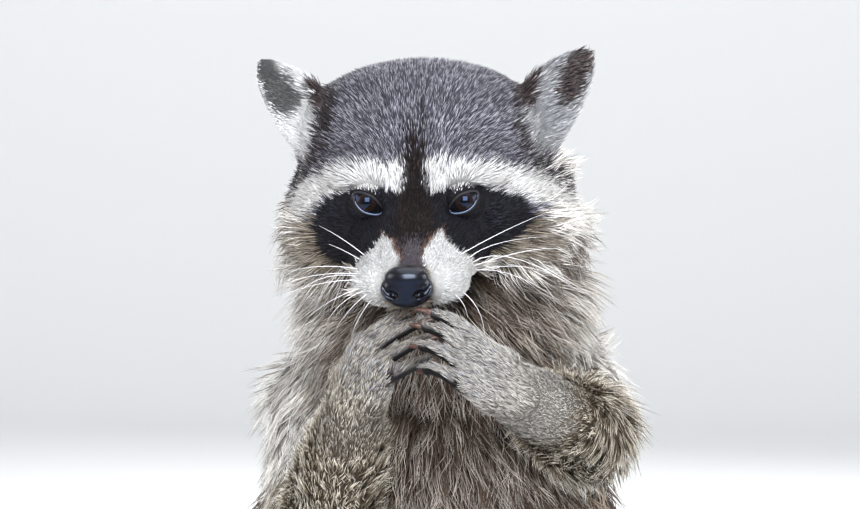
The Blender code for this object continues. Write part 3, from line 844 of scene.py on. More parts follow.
# A kind's colours from 0 to 255 at root, middle, tip and other tip, and the other tip's odds. Then length in
# millimetres, lift in degrees, its blades' width in millimetres, and how densely it grows.
HAIR = {
    "grizzle": ((38, 36, 41), (82, 80, 90), (208, 207, 217), (42, 40, 46), 0.5, 5.2, 16, 0.29, 3.0),
    "crown": ((40, 36, 39), (80, 75, 81), (178, 174, 180), (46, 42, 47), 0.6, 8.5, 25, 0.4, 2.0),
    "brow": ((160, 156, 153), (206, 204, 203), (230, 229, 228), (168, 164, 162), 0.26, 6.4, 13, 0.30, 3.0),
    # the mask's lighter bluish tips: partly the hair's own tone, partly a painted bluish sheen
    "mask": ((15, 14, 17), (22, 21, 27), (62, 62, 76), (13, 12, 15), 0.6, 4.6, 13, 0.28, 3.4),
    "stripe": ((11, 8, 9), (24, 18, 18), (78, 63, 60), (10, 8, 9), 0.6, 4.2, 14, 0.28, 3.3),
    "bridge": ((42, 37, 40), (76, 70, 76), (124, 117, 124), (44, 40, 42), 0.45, 2.4, 12, 0.25, 4.6),
    "muzzle": ((160, 157, 154), (194, 193, 193), (224, 224, 225), (178, 174, 171), 0.24, 4.2, 7, 0.24, 5.0),
    "russet": ((60, 42, 36), (88, 62, 52), (132, 100, 84), (48, 36, 34), 0.4, 2.6, 12, 0.28, 4.0),
    "cheek": ((74, 64, 56), (130, 120, 107), (216, 209, 200), (70, 61, 54), 0.42, 14, 17, 0.34, 2.3),
    "dusk": ((52, 45, 40), (104, 95, 86), (190, 182, 172), (54, 48, 42), 0.42, 13, 17, 0.34, 2.3),
    "ruff": ((122, 114, 108), (206, 201, 196), (250, 250, 248), (134, 124, 116), 0.28, 20, 26, 0.38, 1.8),
    "fringe": ((140, 132, 126), (212, 208, 203), (250, 250, 248), (112, 104, 98), 0.3, 32, 32, 0.40, 1.6),
    "temple": ((26, 22, 24), (46, 41, 44), (92, 86, 89), (28, 24, 26), 0.6, 8, 17, 0.34, 2.6),
    "ear_shade": ((50, 50, 50), (84, 84, 84), (140, 141, 142), (62, 61, 59), 0.5, 4.2, 9, 0.27, 4.4),
    "ear_white": ((170, 168, 166), (208, 208, 209), (238, 238, 240), (160, 158, 157), 0.3, 6.2, 13, 0.28, 4),
    # grey hair that stands for painted shade on the ear to its left
    "ear_grey": ((92, 92, 94), (140, 141, 144), (186, 187, 191), (104, 104, 107), 0.4, 6.0, 12, 0.28, 4.0),
    "ear_tuft": ((128, 124, 124), (188, 187, 189), (236, 236, 238), (116, 111, 110), 0.32, 14, 40, 0.34, 2.6),
    "ear_patch": ((38, 32, 32), (62, 53, 53), (118, 104, 103), (32, 27, 28), 0.5, 6, 20, 0.36, 2.6),
    "ear_back": ((60, 58, 60), (104, 102, 104), (158, 157, 159), (70, 66, 68), 0.4, 2.8, 9, 0.36, 2.6),
    "throat": ((46, 37, 32), (92, 78, 68), (216, 208, 199), (72, 59, 52), 0.48, 27, 18, 0.36, 1.15),
    "throat_pale": ((92, 83, 77), (172, 165, 158), (246, 244, 241), (126, 116, 106), 0.32, 28, 22, 0.4, 1.05),
    "shoulder": ((128, 120, 113), (200, 195, 189), (248, 246, 243), (150, 141, 133), 0.3, 20, 15, 0.42, 1.0),
    "wrist": ((64, 58, 52), (122, 114, 104), (208, 202, 191), (64, 57, 50), 0.38, 6.0, 12, 0.29, 2.9),
    "sleeve": ((98, 93, 88), (156, 151, 145), (214, 210, 204), (106, 100, 94), 0.3, 6.0, 12, 0.29, 2.9),
    "forearm": ((68, 59, 50), (132, 120, 103), (212, 202, 186), (64, 54, 46), 0.38, 10, 17, 0.36, 1.9),
    "elbow": ((52, 43, 36), (136, 124, 107), (232, 226, 214), (50, 42, 35), 0.36, 15, 20, 0.42, 1.5),
    "finger": ((48, 47, 50), (112, 112, 118), (208, 207, 209), (64, 62, 67), 0.32, 3.6, 9, 0.26, 4.8),
    "back": ((58, 49, 44), (98, 86, 78), (196, 186, 172), (40, 34, 32), 0.55, 34, 17, 0.95, 0.3),
    "belly": ((88, 76, 66), (158, 143, 126), (218, 208, 192), (104, 90, 78), 0.3, 30, 17, 0.95, 0.3),
    "leg": ((74, 64, 58), (128, 116, 105), (206, 197, 184), (62, 53, 48), 0.4, 24, 17, 0.85, 0.35),
    "foot": ((96, 88, 82), (158, 149, 140), (208, 200, 190), (90, 80, 74), 0.3, 6, 14, 0.5, 1.5),
    "ring": ((24, 20, 19), (38, 32, 31), (58, 50, 47), (22, 18, 18), 0.5, 26, 24, 0.95, 0.42),
    "tail": ((96, 82, 70), (158, 142, 124), (208, 196, 180), (92, 78, 68), 0.3, 26, 24, 0.95, 0.42),
    "bare": ((13, 11, 13), (19, 17, 20), (40, 37, 41), (20, 18, 20), 0.5, 0.8, 10, 0.3, 0),
}
KINDS = list(HAIR)
# A shape's kind of hair, its soft edge, and its outline, out to its left and up from between the eyes as the
# animal is seen from the front, in millimetres.
FACE_SHAPES = [
    ("dusk", 4.5, [(50, -6), (57, -8), (61, -14), (60, -24), (52, -26), (48, -16)]),
    ("ruff", 5.0, [(24, -22), (34, -25), (47, -27), (52, -33), (40, -35), (27, -35), (24, -30)]),
    ("ruff", 5.0, [(-23, -26), (-34, -28), (-46, -30), (-46, -37), (-34, -39), (-23, -37)]),
    ("brow", 4.0, [
        (-12.6, 16.6), (-9.2, 18.3), (-5.0, 17.1), (-3.7, 13.3), (-4.6, 8.2), (-6.7, 2.4), (-9.2, 4.9),
        (-12.6, 6.1), (-17.2, 6.1), (-25.6, 6.6), (-31.9, 4.9), (-38.2, 1.5), (-42.4, -2.3), (-48.7, -5.6),
        (-54.6, -10.2), (-55.8, -1.4), (-52.0, 4.9), (-46.6, 9.5), (-40.3, 12.9), (-32.7, 16.2),
        (-24.3, 17.9),
    ]),
    ("brow", 4.0, [
        (3.4, 17.5), (6.8, 18.7), (12.6, 17.9), (18.5, 17.5), (26.9, 17.5), (35.3, 16.2), (43.7, 15.0),
        (54.2, 12.4), (61.4, 9.1), (68.9, 2.4), (65.6, -4.4), (58.8, -1.4), (52.1, -0.2), (44.6, 2.8),
        (37.4, 5.3), (29.9, 7.4), (22.7, 8.7), (14.3, 7.0), (11.0, 4.9), (7.6, 2.4), (5.1, 6.6), (3.4, 12.4),
    ]),
    ("mask", 1.0, [
        (-5.0, 3.2), (-10.9, 5.3), (-17.2, 6.1), (-25.7, 5.7), (-32.0, 4.2), (-38.2, 0.8), (-42.0, -4.1),
        (-43.1, -9.7), (-42.0, -15.2), (-39.6, -20.1), (-34.7, -24.3), (-27.8, -27.0), (-24.2, -27.2),
        (-19.3, -23.4), (-12.6, -17.0), (-9.2, -18.6), (-5.8, -16.1), (-4.2, -7.7), (-2.5, -1.0),
    ]),
    ("mask", 1.0, [
        (5.9, 3.2), (11.8, 5.7), (19.4, 7.4), (27.3, 7.4), (38.4, 4.2), (43.7, 1.9), (47.5, -1.3),
        (50.9, -5.5), (48.8, -9.0), (44.0, -13.1), (38.4, -17.3), (33.5, -20.1), (27.4, -24.8), (21.0, -23.4),
        (13.0, -18.2), (10.4, -14.6), (7.6, -15.3), (5.1, -16.1), (3.4, -7.7), (1.7, -1.0),
    ]),
    ("stripe", 2.8, [
        (1.0, 47.0), (-4.4, 34.0), (-5.2, 23.0), (-4.4, 15.4), (-4.6, 9.9), (-6.6, 4.0), (-7.8, -1.4),
        (-8.8, -9.8), (-9.4, -20.0), (-9.6, -31.0), (4.2, -31.0), (6.4, -20.0), (7.4, -9.8), (7.0, -1.4),
        (6.2, 4.0), (3.4, 9.9), (3.4, 15.4), (4.6, 22.0), (4.8, 33.0),
    ]),
    ("bridge", 4.4, [
        (-4.5, -15.5), (-7.5, -19.5), (-7.1, -22.8), (-7.1, -27.0), (-9.6, -30.8), (3.4, -30.8), (3.4, -23.7),
        (4.2, -19.5), (3.0, -15.5),
    ]),
    ("russet", 1.6, [
        (-14.6, -11.6), (-8.6, -15.5), (-6.4, -20.0), (-5.6, -24.5), (-8.6, -25.0), (-11.0, -19.5),
        (-15.0, -15.5),
    ]),
    ("russet", 1.6, [
        (12.6, -10.3), (5.8, -14.3), (2.6, -19.5), (2.2, -24.0), (5.0, -24.5), (8.0, -18.2), (13.0, -14.2),
    ]),
    ("muzzle", 1.2, [
        (-13.1, -12.8), (-10.0, -17.0), (-8.4, -20.3), (-6.9, -23.7), (-7.9, -27.0), (-12.6, -30.8),
        (-14.7, -37.1), (-13.0, -41.3), (-6.7, -45.1), (-13.8, -47.5), (-19.7, -45.4), (-23.1, -40.2),
        (-25.2, -34.6), (-26.0, -28.7), (-23.9, -23.7), (-18.4, -19.1),
    ]),
    ("muzzle", 1.2, [
        (11.0, -11.5), (7.2, -15.3), (4.2, -19.5), (3.0, -23.7), (4.2, -27.0), (6.8, -30.8), (8.4, -37.1),
        (7.2, -41.3), (1.7, -45.1), (14.3, -47.5), (21.5, -43.6), (25.7, -37.5), (27.3, -31.7), (26.9, -27.5),
        (23.1, -22.0), (17.7, -18.2), (13.9, -15.3),
    ]),
    ("brow", 2.2, [(26, -26.8), (32, -28), (39, -29.5), (37, -32), (29, -35), (25, -35.5)]),
    ("brow", 2.2, [(-24, -29.5), (-29, -31), (-32, -32.5), (-28, -35.5), (-23, -36.5)]),
    ("muzzle", 1.2, [
        (-2, -48.4), (10, -46.8), (18, -44.2), (24, -40.2), (27, -42), (22, -48), (14, -52), (2, -53),
    ]),
    # the mouth line: the lips' own black edge, and painted shade in the crease between them
    ("mask", 0.7, [
        (-6, -44.9), (4, -44.9), (10, -44.0), (16, -42.0), (21.6, -38.6), (23.6, -39.4), (18, -43.6),
        (11, -45.9), (4, -47.2), (-6, -47.2),
    ]),
]
EAR_SHAPES = [
    ("ear_shade", 3.0, [
        (-68, 64), (-68, 53.2), (-65, 43.9), (-57.7, 35.8), (-49.9, 39.3), (-48.3, 44.8), (-52.0, 51.1),
        (-57.1, 57.0), (-61.3, 62.7),
    ]),
    ("ear_shade", 3.0, [
        (75, 70), (76, 59.5), (73.0, 51.1), (68.2, 42.9), (62.6, 41.3), (58.8, 46.9), (60.5, 54.4),
        (64.7, 62.0), (69.3, 68.6),
    ]),
    ("ear_patch", 2.6, [
        (-46.2, 60.6), (-47.4, 53.2), (-45.3, 46.0), (-42.0, 40.2), (-39.5, 39.5), (-37.0, 47.7),
        (-37.5, 55.0), (-40.8, 60.8),
    ]),
    ("ear_patch", 2.6, [
        (41, 47.4), (43.0, 59.8), (50.4, 65), (56.5, 64), (54.2, 56.1), (52.1, 49.4), (50.4, 43.1),
        (45.8, 40.3),
    ]),
]
TEMPLES = [  # dark bands down from the inner foot of each ear
    [(-39.4, 43.5), (-43.2, 24.2), (-48.7, 15.4), (-54.6, 9.9)],
    [(46.2, 43.5), (48.3, 28.4), (53.4, 15.0), (62.2, 6.1)],
]
TAIL_RINGS, RING_HALF = (0.12, 0.27, 0.42, 0.57, 0.72, 0.93), 0.038  # the dark ones, as shares of its length
TIP_RING = 2.2  # how much wider the last one is

tail_line = [Vector(tail_station(number / TAIL_STEPS)[:3]) * MM for number in range(TAIL_STEPS + 1)]
BONES = [  # region, start, end, and the flesh's radius at each, in metres
    ("head", HEAD @ (Vector((0, -45, -20)) * MM), HEAD @ (Vector((0, 8, -10)) * MM), 0.012, 0.032),
    ("head", HEAD @ (Vector((0, 8, -10)) * MM), HEAD @ (Vector((0, 46, 4)) * MM), 0.034, 0.052),
    ("neck", Vector((-0.004, -0.046, 0.340)), Vector((0.002, -0.022, 0.280)), 0.040, 0.056),
    ("trunk", Vector((0.003, -0.020, 0.275)), Vector((0, -0.004, 0.170)), 0.056, 0.084),
    ("trunk", Vector((0, -0.004, 0.170)), Vector((0, 0, 0.085)), 0.084, 0.086),
    *[("tail", a, b, 0.020, 0.020) for a, b in zip(tail_line, tail_line[1:])],
]
for word, side in SIDES.items():
    wrist, knuckle, back = hand_ways[word]
    tips = knuckle + (knuckle - wrist) * 0.5 - back * 0.012
    elbow, shoulder = Vector(ELBOW_AT[word]) * MM, Vector(SHOULDER_AT[word]) * MM
    heel, forefoot = foot_ways[word]
    knee, hip = (Vector((side * p[0], *p[1:])) * MM for p in (KNEE_AT, HIP_AT))
    ear_tip = Vector((side * 3, 0, 36)) * MM
    BONES += [
        (f"ear_{word}", ear_frames[word].translation, ear_frames[word] @ ear_tip, 0.012, 0.003),
        (f"upper_arm_{word}", shoulder, elbow, 0.021, 0.018),
        (f"forearm_{word}", elbow, wrist, 0.017, 0.009),
        (f"hand_{word}", wrist, knuckle, 0.009, 0.009),
        (f"hand_{word}", knuckle, tips, 0.009, 0.006),
        (f"thigh_{word}", hip, knee, 0.050, 0.030),
        (f"shin_{word}", knee, heel, 0.022, 0.013),
        (f"foot_{word}", heel, forefoot, 0.013, 0.012),
        (f"foot_{word}", forefoot, forefoot * 1.9 - heel * 0.9, 0.012, 0.006),
    ]
REGIONS = list(dict.fromkeys(bone[0] for bone in BONES))
BLEND = 2.2 * MM  # how softly one region turns into the next
WAVES, WAVE_SUM = 7, 3.2
BLOTCH, FLECK = 0.03, 0.009


def along_bones(points):
    """Each point's strength in each region, its share of the way along each bone, and each one's pull."""
    gaps, shares = [], []
    for _, start, end, thin, thick in BONES:
        start, span = np.array(start), np.array(end - start)
        share = np.clip((points - start) @ span / (span @ span), 0, 1)
        away = np.linalg.norm(points - start - share[:, None] * span, axis=1)
        gaps.append(away - thin - (thick - thin) * share)
        shares.append(share)
    gaps = np.array(gaps)
    pull = np.exp(-(gaps - gaps.min(0)) / BLEND)
    pull /= pull.sum(0)
    region = np.zeros((len(REGIONS), len(points)))
    for bone, strength in zip(BONES, pull):
        region[REGIONS.index(bone[0])] += strength
    return region, np.array(shares), pull


def ripple(points, size, seed):
    """Soft blotches of about this size in metres, mostly between -1 and 1."""
    dice = np.random.default_rng(seed)
    ways = dice.normal(size=(WAVES, 3))
    pace = (2 * math.pi / size) * dice.uniform(0.7, 1.4, (WAVES, 1))
    ways *= pace / np.linalg.norm(ways, axis=1, keepdims=True)
    return np.sin(points @ ways.T + dice.uniform(0, 6.28, WAVES)).sum(1) / WAVE_SUM


def front_view(points):
    """Millimetres out, up and forward from between the eyes, as someone before the animal sees it."""
    away = points - np.array(EYE_MID)
    forward = away @ np.array(LOOK)
    nearer = 1 - forward / CAMERA_DISTANCE
    return np.stack([away[:, 0] / nearer, away @ np.array(LOOK_UP) / nearer], 1) / MM, forward / MM


def markings(points, normals):
    """How much of each kind of hair grows at each point, which adds up to one."""
    count = len(points)
    region, shares, pull = along_bones(points)
    weight = np.zeros((count, len(KINDS)))

    def lay(kind, amount):
        amount = np.clip(amount, 0, 1)[:, None]
        weight[:] *= 1 - amount
        weight[:, KINDS.index(kind)] += amount[:, 0]

    def share_of(kind):
        return weight[:, KINDS.index(kind)]

    def part(name):
        return sum(region[REGIONS.index(r)] for r in REGIONS if r.startswith(name))

    def way_along(name):
        rows = [number for number, bone in enumerate(BONES) if bone[0].startswith(name)]
        return (shares[rows] * pull[rows]).sum(0) / np.maximum(pull[rows].sum(0), 1e-9)

    def inside(outline, edge):
        return 1 - ease(distance_to_loop(outline, flat + 0.5 * fine[:, None]), -edge, edge)

    flat, forward = front_view(points)
    out, up = flat.T
    facing = normals @ np.array(LOOK)
    height, depth = points[:, 2] / MM, points[:, 1] / MM
    coarse, fine = ripple(points, BLOTCH, 1), ripple(points, FLECK, 2)

    # The body: dark back and paler belly, throat and breast, then the limbs from the shoulders to the paws.
    lay("back", np.ones(count))
    lay("belly", part("trunk") * ease(-depth + 0.15 * height + 6 * coarse, 40, 70))
    breast = (1 - ease(np.abs(points[:, 0] / MM - 4), 58, 80)) * ease(-depth, 20, 50)
    lay("throat", (part("trunk") + part("neck")) * breast * ease(height + 8 * coarse, 150, 175))
    lay("throat", part("neck") * ease(-depth, -30, 10))
    sides = ease(np.abs(points[:, 0] / MM - 8) + 9 * coarse, 38, 68) * ease(-depth, -20, 10)
    lay("throat_pale", (part("neck") + part("trunk") * ease(height, 225, 265)) * sides)
    right_side = ease(-points[:, 0] / MM + 6 * coarse, 46, 72) * ease(-depth, -20, 10)
    lay("shoulder", (part("neck") + part("trunk")) * right_side * ease(height, 215, 255))
    lay("leg", part("thigh") * ease(-depth + 10 * coarse, -20, 30) + part("shin") + part("upper_arm"))
    lay("foot", part("foot"))
    lay("shoulder", part("upper_arm") * ease(-depth + 6 * coarse, -5, 20))
    arm = way_along("forearm")
    lay("elbow", part("upper_arm") * ease(way_along("upper_arm") + 0.12 * coarse, 0.55, 0.95))
    lay("elbow", part("forearm"))
    lay("forearm", part("forearm") * ease(arm + 0.1 * coarse, 0.38, 0.62))
    lay("wrist", part("forearm") * ease(arm + 0.06 * fine, 0.62, 0.95) + part("hand"))
    lay("sleeve", part("forearm_left") * ease(arm + 0.06 * fine, 0.42, 0.7) + part("hand_left"))
    lay("elbow", part("forearm_right") * (0.8 - 0.7 * ease(arm + 0.1 * coarse, 0.6, 1.0)))

    # The head: crown and cheeks, the ruff beside them, dark temples, and tufts behind the ears.
    head = part("head")
    lay("crown", head + part("ear"))
    lay("back", head * ease(-forward - 0.6 * up + 9 * coarse, 50, 96) * (1 - ease(facing, -0.25, 0.2)))
    lay("grizzle", head * ease(forward + 0.3 * up, -52, -22))
    beside = ease(np.abs(out - 2) + 3 * coarse, 50, 60) * ease(-depth, -60, -20)
    lay("ruff", head * beside * ease(-up, -36, -26))
    lay("cheek", head * ease(-up + 2 * coarse, 5, 16) * ease(-depth, -50, -30))
    beside = ease(np.abs(out - 3) + 5 * coarse + 3 * fine, 57, 69) * ease(-depth, -70, -30)
    lay("ruff", head * beside * ease(-up, 0, 10))
    low_side = ease(-up, 16, 26) * (1 - ease(-up, 46, 54)) * ease(-depth, -70, -30)
    lay("fringe", head * ease(out + 4 * coarse, 46, 60) * low_side)
    for line in TEMPLES:
        near = np.full(count, 1e3)
        for a, b in zip(np.array(line), np.array(line[1:])):
            share = np.clip((flat - a) @ (b - a) / ((b - a) @ (b - a)), 0, 1)
            near = np.minimum(near, np.linalg.norm(flat - a - share[:, None] * (b - a), axis=1))
        lay("temple", head * (1 - ease(near + 1.4 * fine, 3.2, 7.5)) * ease(forward, -72, -55))
    below_ear = ease(up, 6, 14) * (1 - ease(up, 44, 52)) * ease(np.abs(out - 3) + 2 * fine, 38, 46)
    lay("ear_tuft", head * below_ear * ease(forward, -98, -84) * (1 - ease(forward, -72, -62)))
    past_band = ease(0.62 * up - out - 58.2 + fine, 0.5, 3.5) * ease(-out, 42, 45)
    lay("ear_tuft", head * past_band * ease(up, 3, 9) * (1 - ease(up, 38, 46)) * ease(forward, -125, -105))

    # The shapes of the face and ears. The ear on its left gets greyer, darker hair than the other, as
    # painted shade, for it is turned away from the light.
    front = head * ease(forward, -62, -50) * ease(facing, -0.6, -0.2)
    for kind, edge, outline in FACE_SHAPES:
        lay(kind, front * inside(outline, edge))
    lay("grizzle", 0.62 * ease(up + 3 * fine, 17, 34) * share_of("stripe"))
    open_side = ease(facing, 0.0, 0.25)
    for word in SIDES:
        lay("ear_back", part(f"ear_{word}"))
        # less white on the ear to its left: painted shade
        lay("ear_white", part(f"ear_{word}") * open_side * (1 if word == "right" else 0.4))
    for kind, edge, outline in EAR_SHAPES:
        lay(kind, open_side * ease(forward, -75, -66) * (head + part("ear")) * inside(outline, edge))
    # painted shade on the ear to its left: grey hair over its white, and the dark patch over its inner side
    far = part("ear_left") * open_side
    lay("ear_grey", far * 0.8 * (1 - share_of("ear_shade") - share_of("ear_patch")))
    lay("ear_patch", far * 0.7 * share_of("ear_shade"))

    # Bare skin: fingertips, palms and soles, the fingers' sides, where it is partly painted shade between
    # them, and the edges of the lids. Then the rings of the tail.
    for word in SIDES:
        wrist, knuckle, back = hand_ways[word]
        hand = part(f"hand_{word}")
        toward = (points - np.array(wrist)) @ np.array((knuckle - wrist).normalized()) / MM
        outer = np.maximum(normals @ np.array(back), 0.8 * normals @ np.array(LOOK + LOOK_UP) / math.sqrt(2))
        lay("finger", hand * ease(toward, 8, 20))
        lay("sleeve" if word == "left" else "wrist", hand * 0.5)
        # bare skin under the fingers is real; reaching up their sides it is painted shade in the gaps between
        # them
        lay("bare", hand * ease(-outer, -0.6, -0.35) * ease(toward, 17, 25))
        lay("bare", hand * ease(toward, 38, 46))
        lay("bare", hand * ease(-outer, 0.1, 0.4) * ease(toward, 0, 8))
        lay("bare", part(f"foot_{word}") * ease(-normals[:, 2], 0.4, 0.7))
    for word in SIDES:
        from_eye, lid_gap = past_lids(points, word)
        lay("bare", (1 - ease(lid_gap, 0.5, 1.2)) * (from_eye < 14))
    lay("tail", part("tail"))
    angle = np.degrees(np.arctan2(points[:, 1] / MM - TAIL_CENTRE[1], points[:, 0] / MM - TAIL_CENTRE[0]))
    share = ((TAIL_FROM - angle) % 360) / (TAIL_FROM - TAIL_TO)
    for number, middle in enumerate(TAIL_RINGS):
        half = RING_HALF * (TIP_RING if number == len(TAIL_RINGS) - 1 else 1)
        edge = ease(np.abs(share - middle) + 0.004 * fine, half * 0.8, half * 1.25)
        lay("ring", part("tail") * (1 - edge))
    return weight, region

# ----------------------------------------------------------------------
# The lie of the coat: away from the nose over the whole head, outwards and down on the cheeks, to the tips
# on ears and fingers, down the throat and trunk, and along each limb and the tail. It turns smoothly between.
NOSE_TIP = (0, -64, -22)  # in the head's frame, in millimetres


def word_of(name):
    """Which side a region is on, by the last word of its name."""
    return name.split("_")[-1]


def flattened(rows, normals):
    """These directions, laid into the surface."""
    return unit(rows - normals * (rows * normals).sum(1, keepdims=True))


points = places(skin)
normals = unit(column(skin.data.vertex_normals, "vector", 3, float))
weight, region = markings(points, normals)
pull = along_bones(points)[2]
local = head_place(points)
flow = np.zeros_like(points)
for (region_name, start, end, _, _), strength in zip(BONES, pull):
    way = np.array((end - start)) / np.linalg.norm(np.array(end - start))
    if region_name == "head":
        away = unit(local - np.array(NOSE_TIP))
        away[:, 2] -= 0.55 * ease(-local[:, 2], -2, 22) * ease(local[:, 1], -10, 20)
        outwards = np.sign(local[:, 0]) * ease(np.abs(local[:, 0]), 6, 32)
        away[:, 0] += 0.6 * outwards * ease(local[:, 1], -20, 5)
        turned_way = unit(away) @ TO_HEAD[:3, :3]
    elif region_name.startswith("ear"):
        across = np.array(HEAD_TURN @ Vector((SIDES[word_of(region_name)], 0, 0)))
        turned_way = unit(way + 1.3 * across * ease(normals @ np.array(LOOK), -0.1, 0.3)[:, None])
    elif region_name in ("neck", "trunk"):
        spread = 3 + 10 * ease(points[:, 2], 0.22, 0.31)
        back_and_down = np.tile([0.12, -1.0], (len(points), 1))
        turned_way = unit(np.column_stack([points[:, 0] * spread, back_and_down]))
    elif "arm" in region_name:
        hang = np.array([SIDES[word_of(region_name)] * 0.4, 0.1, -0.6])
        from_elbow = np.linalg.norm(points / MM - np.array(ELBOW_AT[word_of(region_name)]), axis=1)
        turned_way = unit(way + hang * (1.4 - 1.1 * ease(from_elbow, 15, 50))[:, None])
    elif region_name.startswith("thigh"):
        turned_way = unit(way * 0.6 + np.array([0, 0.1, -0.9]))
    else:
        turned_way = way
    flow += strength[:, None] * turned_way
for word in SIDES:
    from_eye = points - np.array(eyes[word])
    close = 1 - ease(np.linalg.norm(from_eye, axis=1) / MM, 7, 13)
    flow += (close * 1.2)[:, None] * unit(from_eye - np.outer(from_eye @ np.array(LOOK), np.array(LOOK)))
flow = flattened(flow, normals)
for _ in range(4):
    flow = flattened(spread_over(skin, flow, 4), normals)


def mixed(entry, weight):
    """A number of the table of hair, averaged over the kinds that grow at each point."""
    return weight @ np.array([HAIR[kind][entry] for kind in KINDS], dtype=float)


def linear(colours):
    """Colours from 0 to 255 as light."""
    share = np.array(colours, dtype=float) / 255
    return np.where(share <= 0.04045, share / 12.92, ((share + 0.055) / 1.055) ** 2.4)


# The skin takes the colour of the hair's lower half, made darker still as painted shade, so that it is dark
# between the tufts.
PAINTED_SHADE_UNDER_HAIR = 0.62
lower = linear([[HAIR[kind][level] for level in (0, 1)] for kind in KINDS]).mean(1)
shade = weight @ lower * PAINTED_SHADE_UNDER_HAIR
tint = skin.data.color_attributes.new("coat_colour", "FLOAT_COLOR", "POINT")
tint.data.foreach_set("color", np.concatenate([shade, np.ones((len(shade), 1))], 1).ravel())

hide, tree, shader, place = new_material("hide", {"Roughness": 0.7, "Specular IOR Level": 0.1})
painted = new_node(tree, "Attribute", {}, attribute_name="coat_colour").outputs["Color"]
mottled = speckled(tree, place["Object"], painted, 900, 0.7, 1.3, detail=4)
pores = new_node(tree, "Bump", {"Height": mottled["Noise"], "Strength": 0.5, "Distance": 0.0004})
feed(tree, shader, {"Base Color": mottled["Color"], "Normal": pores.outputs["Normal"]})
dress(skin, hide)

# ----------------------------------------------------------------------
# The coat itself: thin closed blades of hair rooted in the skin, each bent over into the lie, tapered to a
# point and drawn together in tufts. Short and fine on the face and paws, long and loose on throat and body.
COAT = [  # piece, regions, blades of hair in all, rings to each, pieces it is divided into, slot
    ("coat_head", ("head", "ear"), 58500, 2, 4, "grey_coat"),
    ("coat_throat", ("neck",), 19500, 3, 2, "grey_coat"),
    ("coat_arms", ("upper_arm", "forearm"), 15000, 2, 1, "grey_coat"),
    ("coat_hands", ("hand",), 14500, 2, 1, "grey_coat"),
    ("coat_trunk", ("trunk",), 11500, 2, 1, "grey_coat"),
    ("coat_legs", ("thigh", "shin"), 7500, 2, 1, "grey_coat"),
    ("coat_feet", ("foot",), 4000, 2, 1, "grey_coat"),
    ("coat_tail", ("tail",), 6500, 2, 1, "ringed_coat"),
]
DENSER_IN_FRONT = ("coat_head", "coat_throat", "coat_arms")
BEHIND = 0.35  # how densely these grow at the back, as a share
FIRST_SEED = 40
TUFT, TUFT_LUCK = 9, 0.25  # blades in a tuft, and how many of them share its kind of tip
NEXT_KIND = 0.6  # how far a blade's size follows the kinds around it, and not its own
SHOWS_AT = 0.7  # of a blade's length, where its kind is looked up
ROOT_SUNK = 0.4 * MM
MOST_SWING, LEAST_LIFT, MOST_LIFT = 0.55, 0.05, 0.66  # of a blade, in radians
BLADE_WIDTHS = np.array([0.75, 1.0, 0.8])  # at each ring, as shares of its kind's
BLADE_DEPTH = 0.75  # as a share of half its width
FLOOR_GAP = 0.0006
PATCH = 0.003  # the size of a blade's place on the coat's flat sheet

skin.data.calc_loop_triangles()
triangles = skin.data.loop_triangles
corners, tri_loops = column(triangles, "vertices", 3), column(triangles, "loops", 3)
polygon_of = column(triangles, "polygon_index", 1)[:, 0]
first, second, third = (points[corners[:, number]] for number in range(3))
tri_area = np.linalg.norm(np.cross(second - first, third - first), axis=1) / 2
home = region.argmax(0)
bib = weight[:, KINDS.index("throat")] + weight[:, KINDS.index("throat_pale")] > 0.5
home = np.where(bib & (home == REGIONS.index("trunk")), REGIONS.index("neck"), home)[corners[:, 0]]

# How densely it grows: thinly where the skin lies on the floor, and not at all under the nose pad.
PAD_ROOM = (11.0, 8.4, 9.0)
density = mixed(8, weight)[corners].mean(1)
facing_down = ease(-normals[corners[:, 0], 2], 0.5, 0.95)
density *= 1 - facing_down * ease(0.006 - first[:, 2], 0, 0.003)
density *= np.linalg.norm((local[corners[:, 0]] - np.array(NOSE_AT)) / PAD_ROOM, axis=1) > 1
seen = ease(normals[corners[:, 0]] @ np.array(LOOK), -0.5, 0.1)


def unwrap(faces_shown, name):
    """Lays the skin of these faces out flat, to fill the sheet, and gives the place of every corner."""
    layer = skin.data.uv_layers.new(name=name)
    layer.active = True
    skin.data.polygons.foreach_set("select", faces_shown)
    for elements in (skin.data.vertices, skin.data.edges):
        elements.foreach_set("select", np.zeros(len(elements), dtype=bool))
    only(skin)
    bpy.ops.object.mode_set(mode="EDIT")
    bpy.ops.mesh.select_mode(type="FACE")
    bpy.ops.uv.smart_project(angle_limit=math.radians(60), island_margin=0.003)
    bpy.ops.object.mode_set(mode="OBJECT")
    sheet = column(skin.data.uv_layers[name].data, "uv", 2, float)
    skin.data.uv_layers.remove(skin.data.uv_layers[name])
    return sheet


def from_root(steps):
    """How far each ring of each blade is from its root, as the sum of the steps before it."""
    return np.concatenate([np.zeros((len(steps), 1)), np.cumsum(steps, 1)], 1)


fur, tree, shader, place = new_material("fur", {"Roughness": 0.6, "Specular IOR Level": 0.13})
painted = new_node(tree, "Attribute", {}, attribute_name="coat_colour").outputs["Color"]
feed(tree, shader, {"Base Color": speckled(tree, place["Object"], painted, 1500, 0.8, 1.2)["Color"]})

